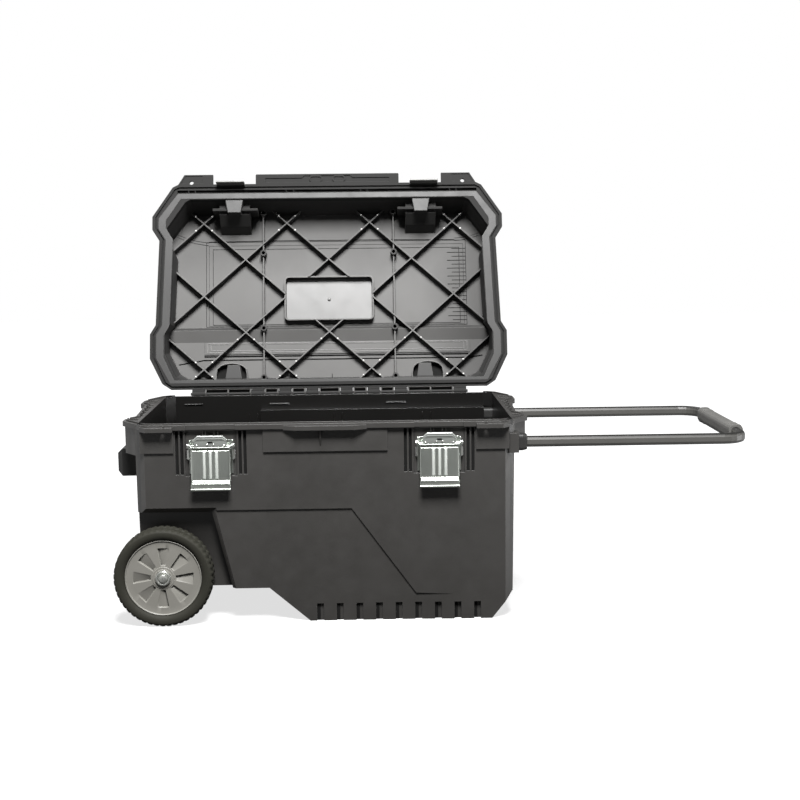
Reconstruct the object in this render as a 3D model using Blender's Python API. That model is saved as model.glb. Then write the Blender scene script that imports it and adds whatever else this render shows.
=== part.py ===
"""Mobile tool chest: a moulded tub and lid on a hinge rod, two steel draw latches, a pair of wheels
on a through axle, a carry grip at the wheel end and a sliding pull handle at the other end.

Metres, +Z up. The origin is the middle of the base, on the faces that the chest stands on. +X is the
end with the pull handle and -Y is the side with the latches. The lid stands open, as the chest is used.
"""

import math

import bmesh
import bpy
from mathutils import Matrix, Vector

# Working clearances
SEAT_GAP = 0.0003
RUNNING_GAP = 0.0004
OVERRUN = 0.003
ROUND_SIDES = 24
SMALL_SIDES = 12

# Tub: the moulded body
RIM_HEIGHT = 0.366
TUB_HALF_LENGTH = 0.345
TUB_DRAFT = 0.005
TUB_HALF_DEPTH = 0.2185
TUB_CORNER = 0.019
TUB_WALL = 0.0045
UNDERSIDE_HEIGHT = 0.063
FOOT_RAMP_OUTER = -0.106
FOOT_RAMP_INNER = -0.032
FOOT_END = 0.3015
HEEL_HEIGHT = 0.049

# Rim outline, shared by the tub and the lid: half widths along X, set from the tub's length, and
# stations along Y, set from its depth
RIM_FRONT_OUT = 0.0075
RIM_REAR_OUT = 0.001
RIM_FRONT = -TUB_HALF_DEPTH - RIM_FRONT_OUT
RIM_REAR = TUB_HALF_DEPTH + RIM_REAR_OUT
FRONT_EDGE_INSET = 0.015
SHOULDER_OUT = 0.028
WAIST_FRONT_OUT = 0.013
WAIST_REAR_OUT = 0.020
EAR_OUT = 0.032
FRONT_EDGE_HALF = TUB_HALF_LENGTH - FRONT_EDGE_INSET
SHOULDER_HALF = TUB_HALF_LENGTH + SHOULDER_OUT
WAIST_FRONT_HALF = TUB_HALF_LENGTH + WAIST_FRONT_OUT
WAIST_REAR_HALF = TUB_HALF_LENGTH + WAIST_REAR_OUT
EAR_HALF = TUB_HALF_LENGTH + EAR_OUT
REAR_EDGE_HALF = TUB_HALF_LENGTH
CORNER_EASE = 0.012
SHOULDER_FRONT_SETBACK = 0.070
SHOULDER_REAR_SETBACK = 0.098
WAIST_FRONT_SETBACK = 0.122
WAIST_REAR_SETBACK = 0.1415
EAR_FRONT_SETBACK = 0.1215
EAR_REAR_SETBACK = 0.0695
SHOULDER_FRONT = RIM_FRONT + SHOULDER_FRONT_SETBACK
SHOULDER_REAR = RIM_FRONT + SHOULDER_REAR_SETBACK
WAIST_FRONT = RIM_FRONT + WAIST_FRONT_SETBACK
WAIST_REAR = RIM_REAR - WAIST_REAR_SETBACK
EAR_FRONT = RIM_REAR - EAR_FRONT_SETBACK
EAR_REAR = RIM_REAR - EAR_REAR_SETBACK
FLANGE_THICKNESS = 0.009
SKIRT_INSET = 0.004
SKIRT_HEIGHT = 0.059

# Tongue on the tub's rim, which fits the groove under the lid, and a second groove along the lid's
# front that keeps its edge thin
TONGUE_INSET = 0.0065
TONGUE_WIDTH = 0.003
TONGUE_HEIGHT = 0.003
GROOVE_CLEARANCE = 0.0008
INNER_GROOVE_INSET = 0.0130
INNER_GROOVE_WIDTH = 0.0060
INNER_GROOVE_DEPTH = 0.0070
INNER_GROOVE_END_SETBACK = 0.010

# Pads and steps on the latch side
PAD_PROUD = 0.0035
PAD_DROP = 0.051
CORNER_PAD_INNER = 0.273
CENTRE_PAD_HALF = 0.112
LOCK_TAB_REACH = 0.012
LOCK_TAB_THICKNESS = 0.008
LOCK_HOLE_PLACE = 0.290
LOCK_HOLE_DIAMETER = 0.009
LIP_TOP_HALF = 0.075
LIP_FRONT_HALF = 0.053
LIP_REACH = 0.010
GUSSET_PLACE = -0.0085
GUSSET_WIDTH = 0.003
GUSSET_DROP = 0.041
PANEL_STEP = 0.0028
PANEL_TOP = 0.209
PANEL_CORNER = 0.046
PANEL_TOE = 0.162
PANEL_TOE_HEIGHT = 0.050
PANEL_END = 0.2374
PANEL_END_HEIGHT = 0.046

# Grip slots along the foot
FOOT_SLOTS = 9
FOOT_SLOT_FIRST = -0.0136
FOOT_SLOT_PITCH = 0.0360
FOOT_SLOT_WIDTH = 0.0125
FOOT_SLOT_HEIGHT = 0.032
FOOT_SLOT_DEPTH = 0.0045
FOOT_LINING = 0.006

# Wheels, wells and axle
WHEEL_DIAMETER = 0.180
WHEEL_END_SETBACK = 0.049
TYRE_WIDTH = 0.046
WHEEL_OUT = 0.0245
HUB_DIAMETER = 0.138
HUB_SETBACK = 0.006
HUB_SPOKES = 8
HUB_POCKET_DEPTH = 0.005
HUB_BOSS_DIAMETER = 0.040
HUB_RIM_WIDTH = 0.008
HUB_DISH_WIDTH = 0.015
HUB_DISH_DEPTH = 0.0025
HUB_POCKET_SHARE = 0.5
HUB_TURN = math.radians(-2)
WHEEL_SIDES = 48
TYRE_SHOULDER = 0.008
AXLE_DIAMETER = 0.012
WASHER_DIAMETER = 0.028
WASHER_THICKNESS = 0.002
CAP_WALL = 0.0010
CAP_LENGTH = 0.006
WELL_SIDE_GAP = 0.007
WELL_TOP_ROOM = 0.025
WELL_TOP_REACH = 0.088
WELL_FOOT_REACH = 0.124
WELL_BEVEL = 0.009
AXLE_SLOT_HALF_WIDTH = 0.009
AXLE_CHEEK = 0.016

# Latches on the tub
LATCH_PLACE = 0.206
POCKET_DEPTH = 0.0065
POCKET_HALF_WIDTH = 0.0465
POCKET_BELOW_PIVOT = 0.0555
POCKET_TOP_DROP = 0.0115
RIB_SLOT_WIDTH = 0.0058
RIB_WIDTH = 0.0030
RIB_SLOT_BELOW_PIVOT = 0.0525
RIB_SLOTS_A_SIDE = 2
NOTCH_HALF_WIDTH = 0.045
NOTCH_DEPTH = 0.006
LATCH_SHEET = 0.0016
PIVOT_DROP = 0.0385
PIVOT_STANDOFF = 0.0105
PIVOT_PIN_DIAMETER = 0.005
PIVOT_HEAD_DIAMETER = 0.009
PIVOT_HEAD_THICKNESS = 0.0016
LEVER_HALF_WIDTH = 0.0355
LEVER_LENGTH = 0.078
LEVER_STANDOFF = 0.0072
LEVER_TOP_DROP = 0.0055
LEVER_LIP_REACH = 0.007
LEVER_LIP_HEIGHT = 0.010
FLUTE_PITCH = 0.0107
FLUTE_WIDTH = 0.0055
FLUTE_PROUD = 0.0013
FLUTE_TOP_DROP = 0.009
FLUTE_LENGTH = 0.052
CHEEK_LENGTH = 0.024
BASE_HALF_WIDTH = 0.0393
BASE_BELOW_PIVOT = 0.0515
BASE_ABOVE_PIVOT = 0.0105
EAR_FLANGE_LENGTH = 0.024
CLAW_HALF_WIDTH = 0.0295
CLAW_PIN_OUT = 0.0065
CLAW_PIN_DROP = 0.002
CLAW_PIN_DIAMETER = 0.003
CLAW_KNUCKLE_DIAMETER = 0.0052
CLAW_HEIGHT = 0.0225
CLAW_HOOK = 0.003
CLAW_CORNER = 0.007
CLAW_TILT = math.radians(12)
BASE_RIVET_DROPS = (0.0425, 0.0285)
RIVET_DIAMETER = 0.0045
RIVET_HEAD_DIAMETER = 0.009
RIVET_HEAD_THICKNESS = 0.0015
RIVET_TAIL = 0.0015
KEEPER_HALF_WIDTH = 0.0300
KEEPER_DROP = 0.024
KEEPER_TOP = 0.0115
KEEPER_BEAD_DIAMETER = 0.0036
KEEPER_RIVET_HEIGHT = 0.0069
KEEPER_RIVET_LENGTH = 0.009
KEEPER_RIVET_PLACE = 0.0155

# Lid
LID_OPEN_ANGLE = math.radians(104.5)
LID_FLANGE_THICKNESS = 0.013
LID_HEIGHT = 0.080
LID_ROOF = 0.004
LID_SIDE_FOOT_INSET = 0.0265
LID_SIDE_TOP_INSET = 0.028
LID_FRONT_FOOT_INSET = 0.0275
LID_FRONT_TOP_INSET = 0.0455
LID_REAR_FOOT_INSET = 0.013
LID_REAR_TOP_INSET = 0.032
LID_WALL = 0.0045
LATTICE_PITCH_X = 0.1795
LATTICE_PITCH_Y = 0.160
LATTICE_FIRST_ROW = 0.060
RIB_THICKNESS = 0.0025
RIB_DEPTH = 0.020
CENTRE_BOX_HALF = 0.0965
CENTRE_BOX_NEAR = 0.166
CENTRE_BOX_FAR = 0.2627
CENTRE_BOX_DEPTH = 0.016
CENTRE_BOX_RIM = 0.003
CENTRE_BOX_CORNER = 0.010
CENTRE_POST_DIAMETER = 0.007
STRAP_RIB_PLACE = 0.141
STRAP_RIB_DEPTH = 0.017
STRAP_RIB_NEAR = 0.040
STRAP_RIB_FAR = 0.402
BOSS_DIAMETER = 0.0136
BOSS_BORE = 0.0076
BOSS_DEPTH = 0.022
BOSS_PLACES = (0.042, 0.149, 0.314, 0.403)
RIDGE_NEAR = 0.122
RIDGE_CREST = 0.147
RIDGE_FAR = 0.154
RIDGE_DEPTH = 0.009
HOUSING_PLACE = 0.200
HOUSING_HALF_WIDTH = 0.0325
HOUSING_NEAR = 0.358
HOUSING_EDGE = 0.3715
HOUSING_RISE = 0.020
HOUSING_STEP = 0.048
LEDGE_PLACE = 0.198
LEDGE_HALF_WIDTH = 0.0480
LEDGE_EDGE = 0.3965
LEDGE_THICKNESS = 0.005
LEDGE_RISE = 0.008
FRONT_TAB_PLACE = 0.1995
FRONT_TAB_HALF_WIDTHS = (0.0140, 0.0200)
FRONT_TAB_RISE = 0.0012
FRONT_TAB_EDGE = 0.3905
REAR_TAB_PLACE = 0.203
REAR_TAB_HALF_WIDTHS = (0.0125, 0.0225)
REAR_TAB_EDGE = 0.064
LID_LOCK_TAB_IN = 0.046
LID_LOCK_TAB_OUT = 0.028
LID_LOCK_TAB_EASE = 0.013
LID_LOCK_BLOCK_WIDTH = 0.022
LID_TAB_RECESS_DEPTH = 0.0015
LID_TAB_RECESS_EDGE = 0.0025
LID_LIP_HALF = 0.153
LID_LIP_REACH = 0.021
LID_LIP_EASE = 0.0015
LID_REAR_SETBACK = 0.0045
LIP_RECESS_HALF = 0.133
LIP_RECESS_DEPTH = 0.0022
LIP_RECESS_MIDDLE_HALF = 0.0490
LIP_RECESS_STEP = 0.0050
LIP_RECESS_EDGE = 0.0035
LIP_RING_PLACE = 0.0246
LIP_RING_HALF_LENGTH = 0.0140
LIP_RING_HALF_WIDTH = 0.0072
LIP_RING_EDGE = 0.0028

# Hinge
HINGE_OUT = 0.0065
HINGE_RISE = 0.003
ROD_DIAMETER = 0.006
ROD_HALF_LENGTH = 0.291
KNUCKLE_DIAMETER = 0.012
LID_KNUCKLE_WIDTH = 0.026
LID_KNUCKLE_PLACES = (0.036, 0.093, 0.150, 0.275)
HINGE_SIDE_GAP = 0.0008
HINGE_CUP_RADIUS = 0.0103
HINGE_CUP_WALL = 0.0018
HINGE_CUP_DROP = 0.022
HINGE_CUP_ANGLES = (math.radians(-55), math.radians(95))
HINGE_CUP_FLOOR_ANGLE = math.radians(-40)
HINGE_WEB_ANGLES = (math.radians(-50), math.radians(90))
HINGE_WEB_WIDTH = 0.003
HINGE_WEB_SPAN = 0.060

# Pull handle and what guides it
TUBE_WALL_SETBACK = 0.0215
TUBE_RIM_DROP = 0.042
TUBE_TALL = 0.020
TUBE_WIDE = 0.016
TUBE_CORNER = 0.006
TUBE_WALL = 0.0018
TUBE_INNER_SETBACK = 0.095
CROSSBAR_OUT = 0.425
BEND_RADIUS = 0.040
BEND_STEPS = 6
SLEEVE_HALF_LENGTH = 0.128
SLEEVE_TALL = 0.030
SLEEVE_WIDE = 0.027
SLEEVE_CORNER = 0.010
HANDLE_END_ROOM = 0.001
PLUG_LENGTH = 0.014
BUSH_WALL = 0.0014
BUSH_HEAD_WALL = 0.005
BUSH_HEAD_LENGTH = 0.015
BUSH_SEAT_OUT = 0.0065
BUSH_PAD_MARGIN = 0.009
BUSH_PAD_HALF_HEIGHT = 0.018
BUSH_PAD_DEPTH = 0.020
CHANNEL_WALL = 0.0025
CHANNEL_ROOM = 0.016

# Carry grip at the wheel end
GRIP_HALF_SPAN = 0.098
GRIP_ARM_WIDTH = 0.030
GRIP_REACH = 0.050
GRIP_BAR_THICKNESS = 0.018
GRIP_RIM_DROP = 0.060
GRIP_TALL = 0.052
GRIP_CHAMFER = 0.009
GRIP_SCREW_DIAMETER = 0.005
GRIP_SCREW_HEAD_DIAMETER = 0.011
GRIP_SCREW_HEAD_THICKNESS = 0.003
GRIP_SCREW_LENGTH = 0.020

# Pockets moulded into both ends of the rim, as shares of the rim's depth from front to rear
END_POCKET_SHARES = (
    (0.175, 0.225),
    (0.300, 0.370),
    (0.385, 0.455),
    (0.470, 0.540),
    (0.555, 0.625),
    (0.640, 0.680),
    (0.745, 0.790),
    (0.805, 0.845),
)
END_POCKET_WALL = 0.002
END_POCKET_DEPTH = 0.046


def clear_scene():
    for obj in list(bpy.data.objects):
        bpy.data.objects.remove(obj, do_unlink=True)


def make_material(name, colour, roughness, metallic):
    material = bpy.data.materials.new(name)
    material.use_nodes = True
    shader = material.node_tree.nodes["Principled BSDF"]
    shader.inputs["Base Color"].default_value = (*colour, 1)
    shader.inputs["Roughness"].default_value = roughness
    shader.inputs["Metallic"].default_value = metallic
    material.diffuse_color = (*colour, 1)
    return material


def loft(name, rings):
    """A closed solid through rings of 3-D points, all with the same count."""
    mesh = bmesh.new()
    rows = [[mesh.verts.new(point) for point in ring] for ring in rings]
    count = len(rows[0])
    for low, high in zip(rows, rows[1:]):
        for i in range(count):
            j = (i + 1) % count
            mesh.faces.new((low[i], low[j], high[j], high[i]))
    mesh.faces.new(rows[0])
    mesh.faces.new(rows[-1])
    bmesh.ops.recalc_face_normals(mesh, faces=mesh.faces)
    data = bpy.data.meshes.new(name)
    mesh.to_mesh(data)
    mesh.free()
    obj = bpy.data.objects.new(name, data)
    bpy.context.scene.collection.objects.link(obj)
    return obj


def placed(axis, along, across, up):
    """A point from its place along the axis and its two places across it."""
    if axis == "X":
        return Vector((along, across, up))
    if axis == "Y":
        return Vector((across, along, up))
    return Vector((across, up, along))


def prism(name, outline, axis, start, end):
    """An outline across an axis, run from start to end along it."""
    return loft(name, [[placed(axis, along, a, b) for a, b in outline] for along in (start, end)])


def box(name, x, y, z):
    return prism(name, [(x[0], y[0]), (x[1], y[0]), (x[1], y[1]), (x[0], y[1])], "Z", z[0], z[1])


def circle(centre, radius, sides=ROUND_SIDES):
    turn = math.tau / sides
    return [
        (centre[0] + radius * math.cos(turn * i), centre[1] + radius * math.sin(turn * i))
        for i in range(sides)
    ]


def rounded(half_a, half_b, corner, steps=4):
    """A rectangle about zero with round corners."""
    points = []
    quarter = math.pi / 2
    for turn, sign_a, sign_b in ((0, 1, 1), (1, -1, 1), (2, -1, -1), (3, 1, -1)):
        for i in range(steps + 1):
            angle = quarter * (turn + i / steps)
            points.append(
                (
                    sign_a * (half_a - corner) + corner * math.cos(angle),
                    sign_b * (half_b - corner) + corner * math.sin(angle),
                )
            )
    return points


def shifted(outline, across, up):
    return [(a + across, b + up) for a, b in outline]


def inset(outline, distance):
    """The outline drawn in by a distance, for points that run anticlockwise."""
    count = len(outline)
    result = []
    for i in range(count):
        here = Vector(outline[i])
        before = (here - Vector(outline[i - 1])).normalized()
        after = (Vector(outline[(i + 1) % count]) - here).normalized()
        inward = Vector((-before.y, before.x)) + Vector((-after.y, after.x))
        scale = distance * 2 / inward.length_squared
        result.append(tuple(here + inward * scale))
    return result


def combine(target, operation, tools):
    """Applies one Boolean with all the tools and deletes them."""
    group = bpy.data.collections.new("tools")
    for tool in tools:
        tool.hide_render = True
        tool.display_type = "WIRE"
        for owner in list(tool.users_collection):
            owner.objects.unlink(tool)
        group.objects.link(tool)
    modifier = target.modifiers.new(operation.lower(), "BOOLEAN")
    modifier.operation = operation
    modifier.operand_type = "COLLECTION"
    modifier.collection = group
    bpy.context.view_layer.update()
    graph = bpy.context.evaluated_depsgraph_get()
    result = bpy.data.meshes.new_from_object(target.evaluated_get(graph))
    old = target.data
    target.modifiers.clear()
    target.data = result
    bpy.data.meshes.remove(old)
    for tool in tools:
        bpy.data.objects.remove(tool, do_unlink=True)
    bpy.data.collections.remove(group)
    return target


def overlap_of(first, second):
    """What two solids share."""
    modifier = first.modifiers.new("intersect", "BOOLEAN")
    modifier.operation = "INTERSECT"
    modifier.object = second
    bpy.context.view_layer.update()
    graph = bpy.context.evaluated_depsgraph_get()
    result = bpy.data.meshes.new_from_object(first.evaluated_get(graph))
    first.modifiers.clear()
    first.data = result
    bpy.data.objects.remove(second, do_unlink=True)
    return first


def finished(obj, material, smooth_angle=math.radians(32)):
    obj.data.materials.clear()
    obj.data.materials.append(material)
    obj.data.shade_smooth()
    obj.data.set_sharp_from_angle(angle=smooth_angle)
    return obj


def hang_on(obj, pivot, frame=Matrix.Identity(4)):
    """Puts the object's origin on its joint axis and turns it about that point."""
    obj.data.transform(Matrix.Translation(-pivot))
    obj.matrix_world = Matrix.Translation(pivot) @ frame
    return obj


def rim_outline(rear=RIM_REAR):
    """The rim seen from above, anticlockwise from the front right corner."""
    right = [
        (FRONT_EDGE_HALF - CORNER_EASE, RIM_FRONT),
        (FRONT_EDGE_HALF, RIM_FRONT + CORNER_EASE / 2),
        (SHOULDER_HALF, SHOULDER_FRONT),
        (SHOULDER_HALF, SHOULDER_REAR),
        (WAIST_FRONT_HALF, WAIST_FRONT),
        (WAIST_REAR_HALF, WAIST_REAR),
        (EAR_HALF, EAR_FRONT),
        (EAR_HALF, EAR_REAR),
        (REAR_EDGE_HALF + CORNER_EASE / 2, rear - CORNER_EASE),
        (REAR_EDGE_HALF - CORNER_EASE, rear),
    ]
    left = [(-x, y) for x, y in reversed(right)]
    return right + left


def mirrored(make, places=(-1, 1)):
    """One solid for each side, made by a function that takes the side's sign."""
    return [make(side) for side in places]


# Places that follow from the sizes above
HINGE_Y = RIM_REAR + HINGE_OUT
HINGE_Z = RIM_HEIGHT + HINGE_RISE
TUBE_PLACE = TUB_HALF_DEPTH - TUBE_WALL_SETBACK
TUBE_HEIGHT = RIM_HEIGHT - TUBE_RIM_DROP
GRIP_TOP = RIM_HEIGHT - GRIP_RIM_DROP
GRIP_BOTTOM = GRIP_TOP - GRIP_TALL
GRIP_SCREW_HEIGHT = (GRIP_TOP + GRIP_BOTTOM) / 2
WHEEL_X = -TUB_HALF_LENGTH + WHEEL_END_SETBACK
WHEEL_OUTER_FACE = TUB_HALF_DEPTH + WHEEL_OUT
WELL_TOP = WHEEL_DIAMETER + WELL_TOP_ROOM
WELL_TOP_END = WHEEL_X + WELL_TOP_REACH
WELL_FOOT_END = WHEEL_X + WELL_FOOT_REACH
PIVOT_HEIGHT = RIM_HEIGHT - PIVOT_DROP
POCKET_TOP = RIM_HEIGHT - POCKET_TOP_DROP
POCKET_BOTTOM = PIVOT_HEIGHT - POCKET_BELOW_PIVOT
RIB_SLOT_BOTTOM = PIVOT_HEIGHT - RIB_SLOT_BELOW_PIVOT
BASE_TOP = PIVOT_HEIGHT + BASE_ABOVE_PIVOT
BASE_BOTTOM = PIVOT_HEIGHT - BASE_BELOW_PIVOT
BASE_RIVET_HEIGHTS = tuple(PIVOT_HEIGHT - drop for drop in BASE_RIVET_DROPS)
PAD_BOTTOM = RIM_HEIGHT - PAD_DROP
CAP_DIAMETER = AXLE_DIAMETER + 2 * (SEAT_GAP + CAP_WALL)
LID_LOCK_TAB_INNER = LOCK_HOLE_PLACE - LID_LOCK_TAB_IN
LID_LOCK_TAB_OUTER = LOCK_HOLE_PLACE + LID_LOCK_TAB_OUT
TUBE_INNER_END = TUB_HALF_LENGTH - TUBE_INNER_SETBACK
CROSSBAR_X = TUB_HALF_LENGTH + CROSSBAR_OUT
BUSH_SEAT_X = TUB_HALF_LENGTH + BUSH_SEAT_OUT
POCKET_FLOOR = -TUB_HALF_DEPTH + POCKET_DEPTH
POCKET_BACKING = POCKET_FLOOR + TUB_WALL - 2 * SEAT_GAP
SKIRT_BOTTOM = RIM_HEIGHT - SKIRT_HEIGHT
LID_BOTTOM = RIM_HEIGHT + 2 * SEAT_GAP
WHEEL_RADIUS = WHEEL_DIAMETER / 2
WHEEL_MIDDLE = WHEEL_OUTER_FACE - TYRE_WIDTH / 2
WELL_WALL = WHEEL_OUTER_FACE - TYRE_WIDTH - WELL_SIDE_GAP
PIVOT_Y = POCKET_FLOOR - PIVOT_STANDOFF
CLAW_PIN_Y = PIVOT_Y - CLAW_PIN_OUT
CLAW_PIN_Z = PIVOT_HEIGHT - CLAW_PIN_DROP
FLANGE_NOTCH = RIM_FRONT + NOTCH_DEPTH
HANDLE_TRAVEL = CROSSBAR_X - BEND_RADIUS - (BUSH_SEAT_X + BUSH_HEAD_LENGTH) - HANDLE_END_ROOM
CHANNEL_LEFT_END = TUBE_INNER_END - HANDLE_TRAVEL - PLUG_LENGTH - CHANNEL_ROOM
HINGE = Vector((0, HINGE_Y, HINGE_Z))
OPEN_TURN = Matrix.Rotation(-LID_OPEN_ANGLE, 4, "X")


def tub_profile(grow=0):
    """The tub seen from the latch side, drawn in by a wall where grow is negative."""
    half = TUB_HALF_LENGTH
    slope = TUB_DRAFT / RIM_HEIGHT
    outline = [
        (-half + slope * (RIM_HEIGHT - UNDERSIDE_HEIGHT), UNDERSIDE_HEIGHT),
        (FOOT_RAMP_OUTER, UNDERSIDE_HEIGHT),
        (FOOT_RAMP_INNER, 0),
        (FOOT_END, 0),
        (half - slope * (RIM_HEIGHT - HEEL_HEIGHT), HEEL_HEIGHT),
        (half, RIM_HEIGHT),
        (-half, RIM_HEIGHT),
    ]
    return inset(outline, -grow)


def tub_plan(wall):
    """The tub seen from above, with cut corners, drawn in by a wall."""
    half_x = TUB_HALF_LENGTH - wall
    half_y = TUB_HALF_DEPTH - wall
    past = half_x + OVERRUN
    cut = half_y - TUB_CORNER + OVERRUN
    right = [
        (half_x - TUB_CORNER, -half_y),
        (past, -cut + 2 * OVERRUN),
        (past, cut - 2 * OVERRUN),
        (half_x - TUB_CORNER, half_y),
    ]
    return right + [(-x, y) for x, y in reversed(right)]


def well_outline(grow):
    """One wheel well seen from its side: open below and to the end of the chest."""
    far = -TUB_HALF_LENGTH - SHOULDER_HALF
    return [
        (far, UNDERSIDE_HEIGHT - TUB_WALL),
        (WELL_FOOT_END + grow, UNDERSIDE_HEIGHT - TUB_WALL),
        (WELL_TOP_END + grow, WELL_TOP + grow),
        (far, WELL_TOP + grow),
    ]


def make_cavity():
    """The room inside the tub: above and beside the wells, down to the foot."""
    mouth = RIM_HEIGHT + TONGUE_HEIGHT + OVERRUN
    deep = prism("deep", tub_plan(TUB_WALL), "Z", -OVERRUN, mouth)
    inner = tub_profile(-TUB_WALL)
    raised = inner[:-2] + [(point[0], mouth + OVERRUN) for point in inner[-2:]]
    overlap_of(deep, prism("room", raised, "Y", -TUB_HALF_DEPTH, TUB_HALF_DEPTH))
    wells = []
    for side in (-1, 1):
        outline = well_outline(TUB_WALL)
        inside = side * (WELL_WALL - TUB_WALL)
        wells.append(prism("well_room", outline, "Y", inside, side * TUB_HALF_DEPTH * 2))
        foot = FOOT_SLOT_HEIGHT + TUB_WALL
        lining = side * (TUB_HALF_DEPTH - TUB_WALL - FOOT_LINING)
        wells.append(
            box(
                "foot_room",
                (FOOT_RAMP_OUTER, TUB_HALF_LENGTH * 2),
                sorted((lining, side * TUB_HALF_DEPTH * 2)),
                (-OVERRUN * 2, foot),
            )
        )
    hump = AXLE_SLOT_HALF_WIDTH + TUB_WALL
    wells.append(
        box(
            "hump_room",
            (WHEEL_X - hump, WHEEL_X + hump),
            (-TUB_HALF_DEPTH * 2, TUB_HALF_DEPTH * 2),
            (0, WHEEL_RADIUS + AXLE_DIAMETER / 2 + RUNNING_GAP + TUB_WALL),
        )
    )
    return combine(deep, "DIFFERENCE", wells)


def front_pads():
    """Raised pads on the latch side, and the lock tabs and lip of the rim above them."""
    face = -TUB_HALF_DEPTH - PAD_PROUD
    root = -TUB_HALF_DEPTH + TUB_WALL / 2
    tab_low = RIM_HEIGHT - FLANGE_THICKNESS - LOCK_TAB_THICKNESS / 4
    corner = TUB_HALF_LENGTH - CORNER_EASE
    height = (PAD_BOTTOM, tab_low + OVERRUN)
    pads = [box("centre_pad", (-CENTRE_PAD_HALF, CENTRE_PAD_HALF), (face, root), height)]
    for side in (-1, 1):
        span = sorted((side * CORNER_PAD_INNER, side * corner))
        pads.append(box("corner_pad", span, (face, root), height))
        reach = RIM_FRONT - LOCK_TAB_REACH
        tab = [
            (side * CORNER_PAD_INNER, root),
            (side * CORNER_PAD_INNER, reach),
            (side * (corner - LOCK_TAB_REACH), reach),
            (side * corner, RIM_FRONT + OVERRUN),
            (side * corner, root),
        ]
        pads.append(prism("lock_tab", tab, "Z", tab_low, tab_low + LOCK_TAB_THICKNESS))
    lip = [
        (LIP_TOP_HALF, root),
        (LIP_TOP_HALF, RIM_FRONT),
        (LIP_FRONT_HALF, RIM_FRONT - LIP_REACH),
        (-LIP_FRONT_HALF, RIM_FRONT - LIP_REACH),
        (-LIP_TOP_HALF, RIM_FRONT),
        (-LIP_TOP_HALF, root),
    ]
    pads.append(prism("lip", lip, "Z", tab_low, tab_low + LOCK_TAB_THICKNESS))
    foot = RIM_HEIGHT - GUSSET_DROP
    gusset = [
        (root, tab_low + OVERRUN),
        (RIM_FRONT - LIP_REACH + GUSSET_WIDTH, tab_low + OVERRUN),
        (face, foot),
        (root, foot),
    ]
    half = GUSSET_WIDTH / 2
    pads.append(prism("gusset", gusset, "X", GUSSET_PLACE - half, GUSSET_PLACE + half))
    return pads


def end_pockets():
    """Open pockets in the rim at both ends, which keep the moulding's walls thin."""
    depth = RIM_REAR - RIM_FRONT
    inner = TUB_HALF_LENGTH + END_POCKET_WALL
    pockets = []
    for near_share, far_share in END_POCKET_SHARES:
        near = RIM_FRONT + near_share * depth
        far = RIM_FRONT + far_share * depth
        outer = min(rim_half_width(near), rim_half_width(far)) - SKIRT_INSET - END_POCKET_WALL
        for side in (-1, 1):
            span = sorted((side * inner, side * outer))
            low, high = RIM_HEIGHT - END_POCKET_DEPTH, RIM_HEIGHT + TONGUE_HEIGHT + OVERRUN
            pockets.append(box("end_pocket", span, (near, far), (low, high)))
    return pockets


def rim_half_width(y):
    """The rim's half width at a station along Y."""
    right = rim_outline()[:10]
    for (x_near, y_near), (x_far, y_far) in zip(right, right[1:]):
        if y_near <= y <= y_far:
            return x_near + (x_far - x_near) * (y - y_near) / (y_far - y_near)
    return REAR_EDGE_HALF


def latch_pocket_cuts(side):
    """The recess behind one latch, the slots beside it and the notch in the flange above it."""
    middle = side * LATCH_PLACE
    front = RIM_FRONT - LIP_REACH
    cuts = [
        box(
            "pocket",
            (middle - POCKET_HALF_WIDTH, middle + POCKET_HALF_WIDTH),
            (front, POCKET_FLOOR),
            (POCKET_BOTTOM, POCKET_TOP),
        ),
        box(
            "notch",
            (middle - NOTCH_HALF_WIDTH, middle + NOTCH_HALF_WIDTH),
            (front, FLANGE_NOTCH),
            (POCKET_TOP - OVERRUN, RIM_HEIGHT + OVERRUN),
        ),
    ]
    pitch = RIB_WIDTH + RIB_SLOT_WIDTH
    for end in (-1, 1):
        for i in range(RIB_SLOTS_A_SIDE):
            near = middle + end * (POCKET_HALF_WIDTH + RIB_WIDTH + i * pitch)
            span = sorted((near, near + end * RIB_SLOT_WIDTH))
            cuts.append(box("rib_slot", span, (front, POCKET_FLOOR), (RIB_SLOT_BOTTOM, POCKET_TOP)))
    return cuts


def latch_backing(side):
    """The wall inside the tub, set in behind one latch pocket."""
    reach = POCKET_HALF_WIDTH + (RIB_WIDTH + RIB_SLOT_WIDTH) * RIB_SLOTS_A_SIDE + RIB_WIDTH
    return box(
        "backing",
        (side * LATCH_PLACE - reach, side * LATCH_PLACE + reach),
        (-TUB_HALF_DEPTH + TUB_WALL / 2, POCKET_BACKING),
        (POCKET_BOTTOM - TUB_WALL, POCKET_TOP + TUB_WALL),
    )


def tongue_ring(low, high, margin, width):
    """A ring that follows the rim between two insets."""
    outer = prism("ring", inset(rim_outline(), margin), "Z", low, high)
    core = prism("ring_core", inset(rim_outline(), margin + width), "Z", low - OVERRUN, high + OVERRUN)
    return combine(outer, "DIFFERENCE", [core])


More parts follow.
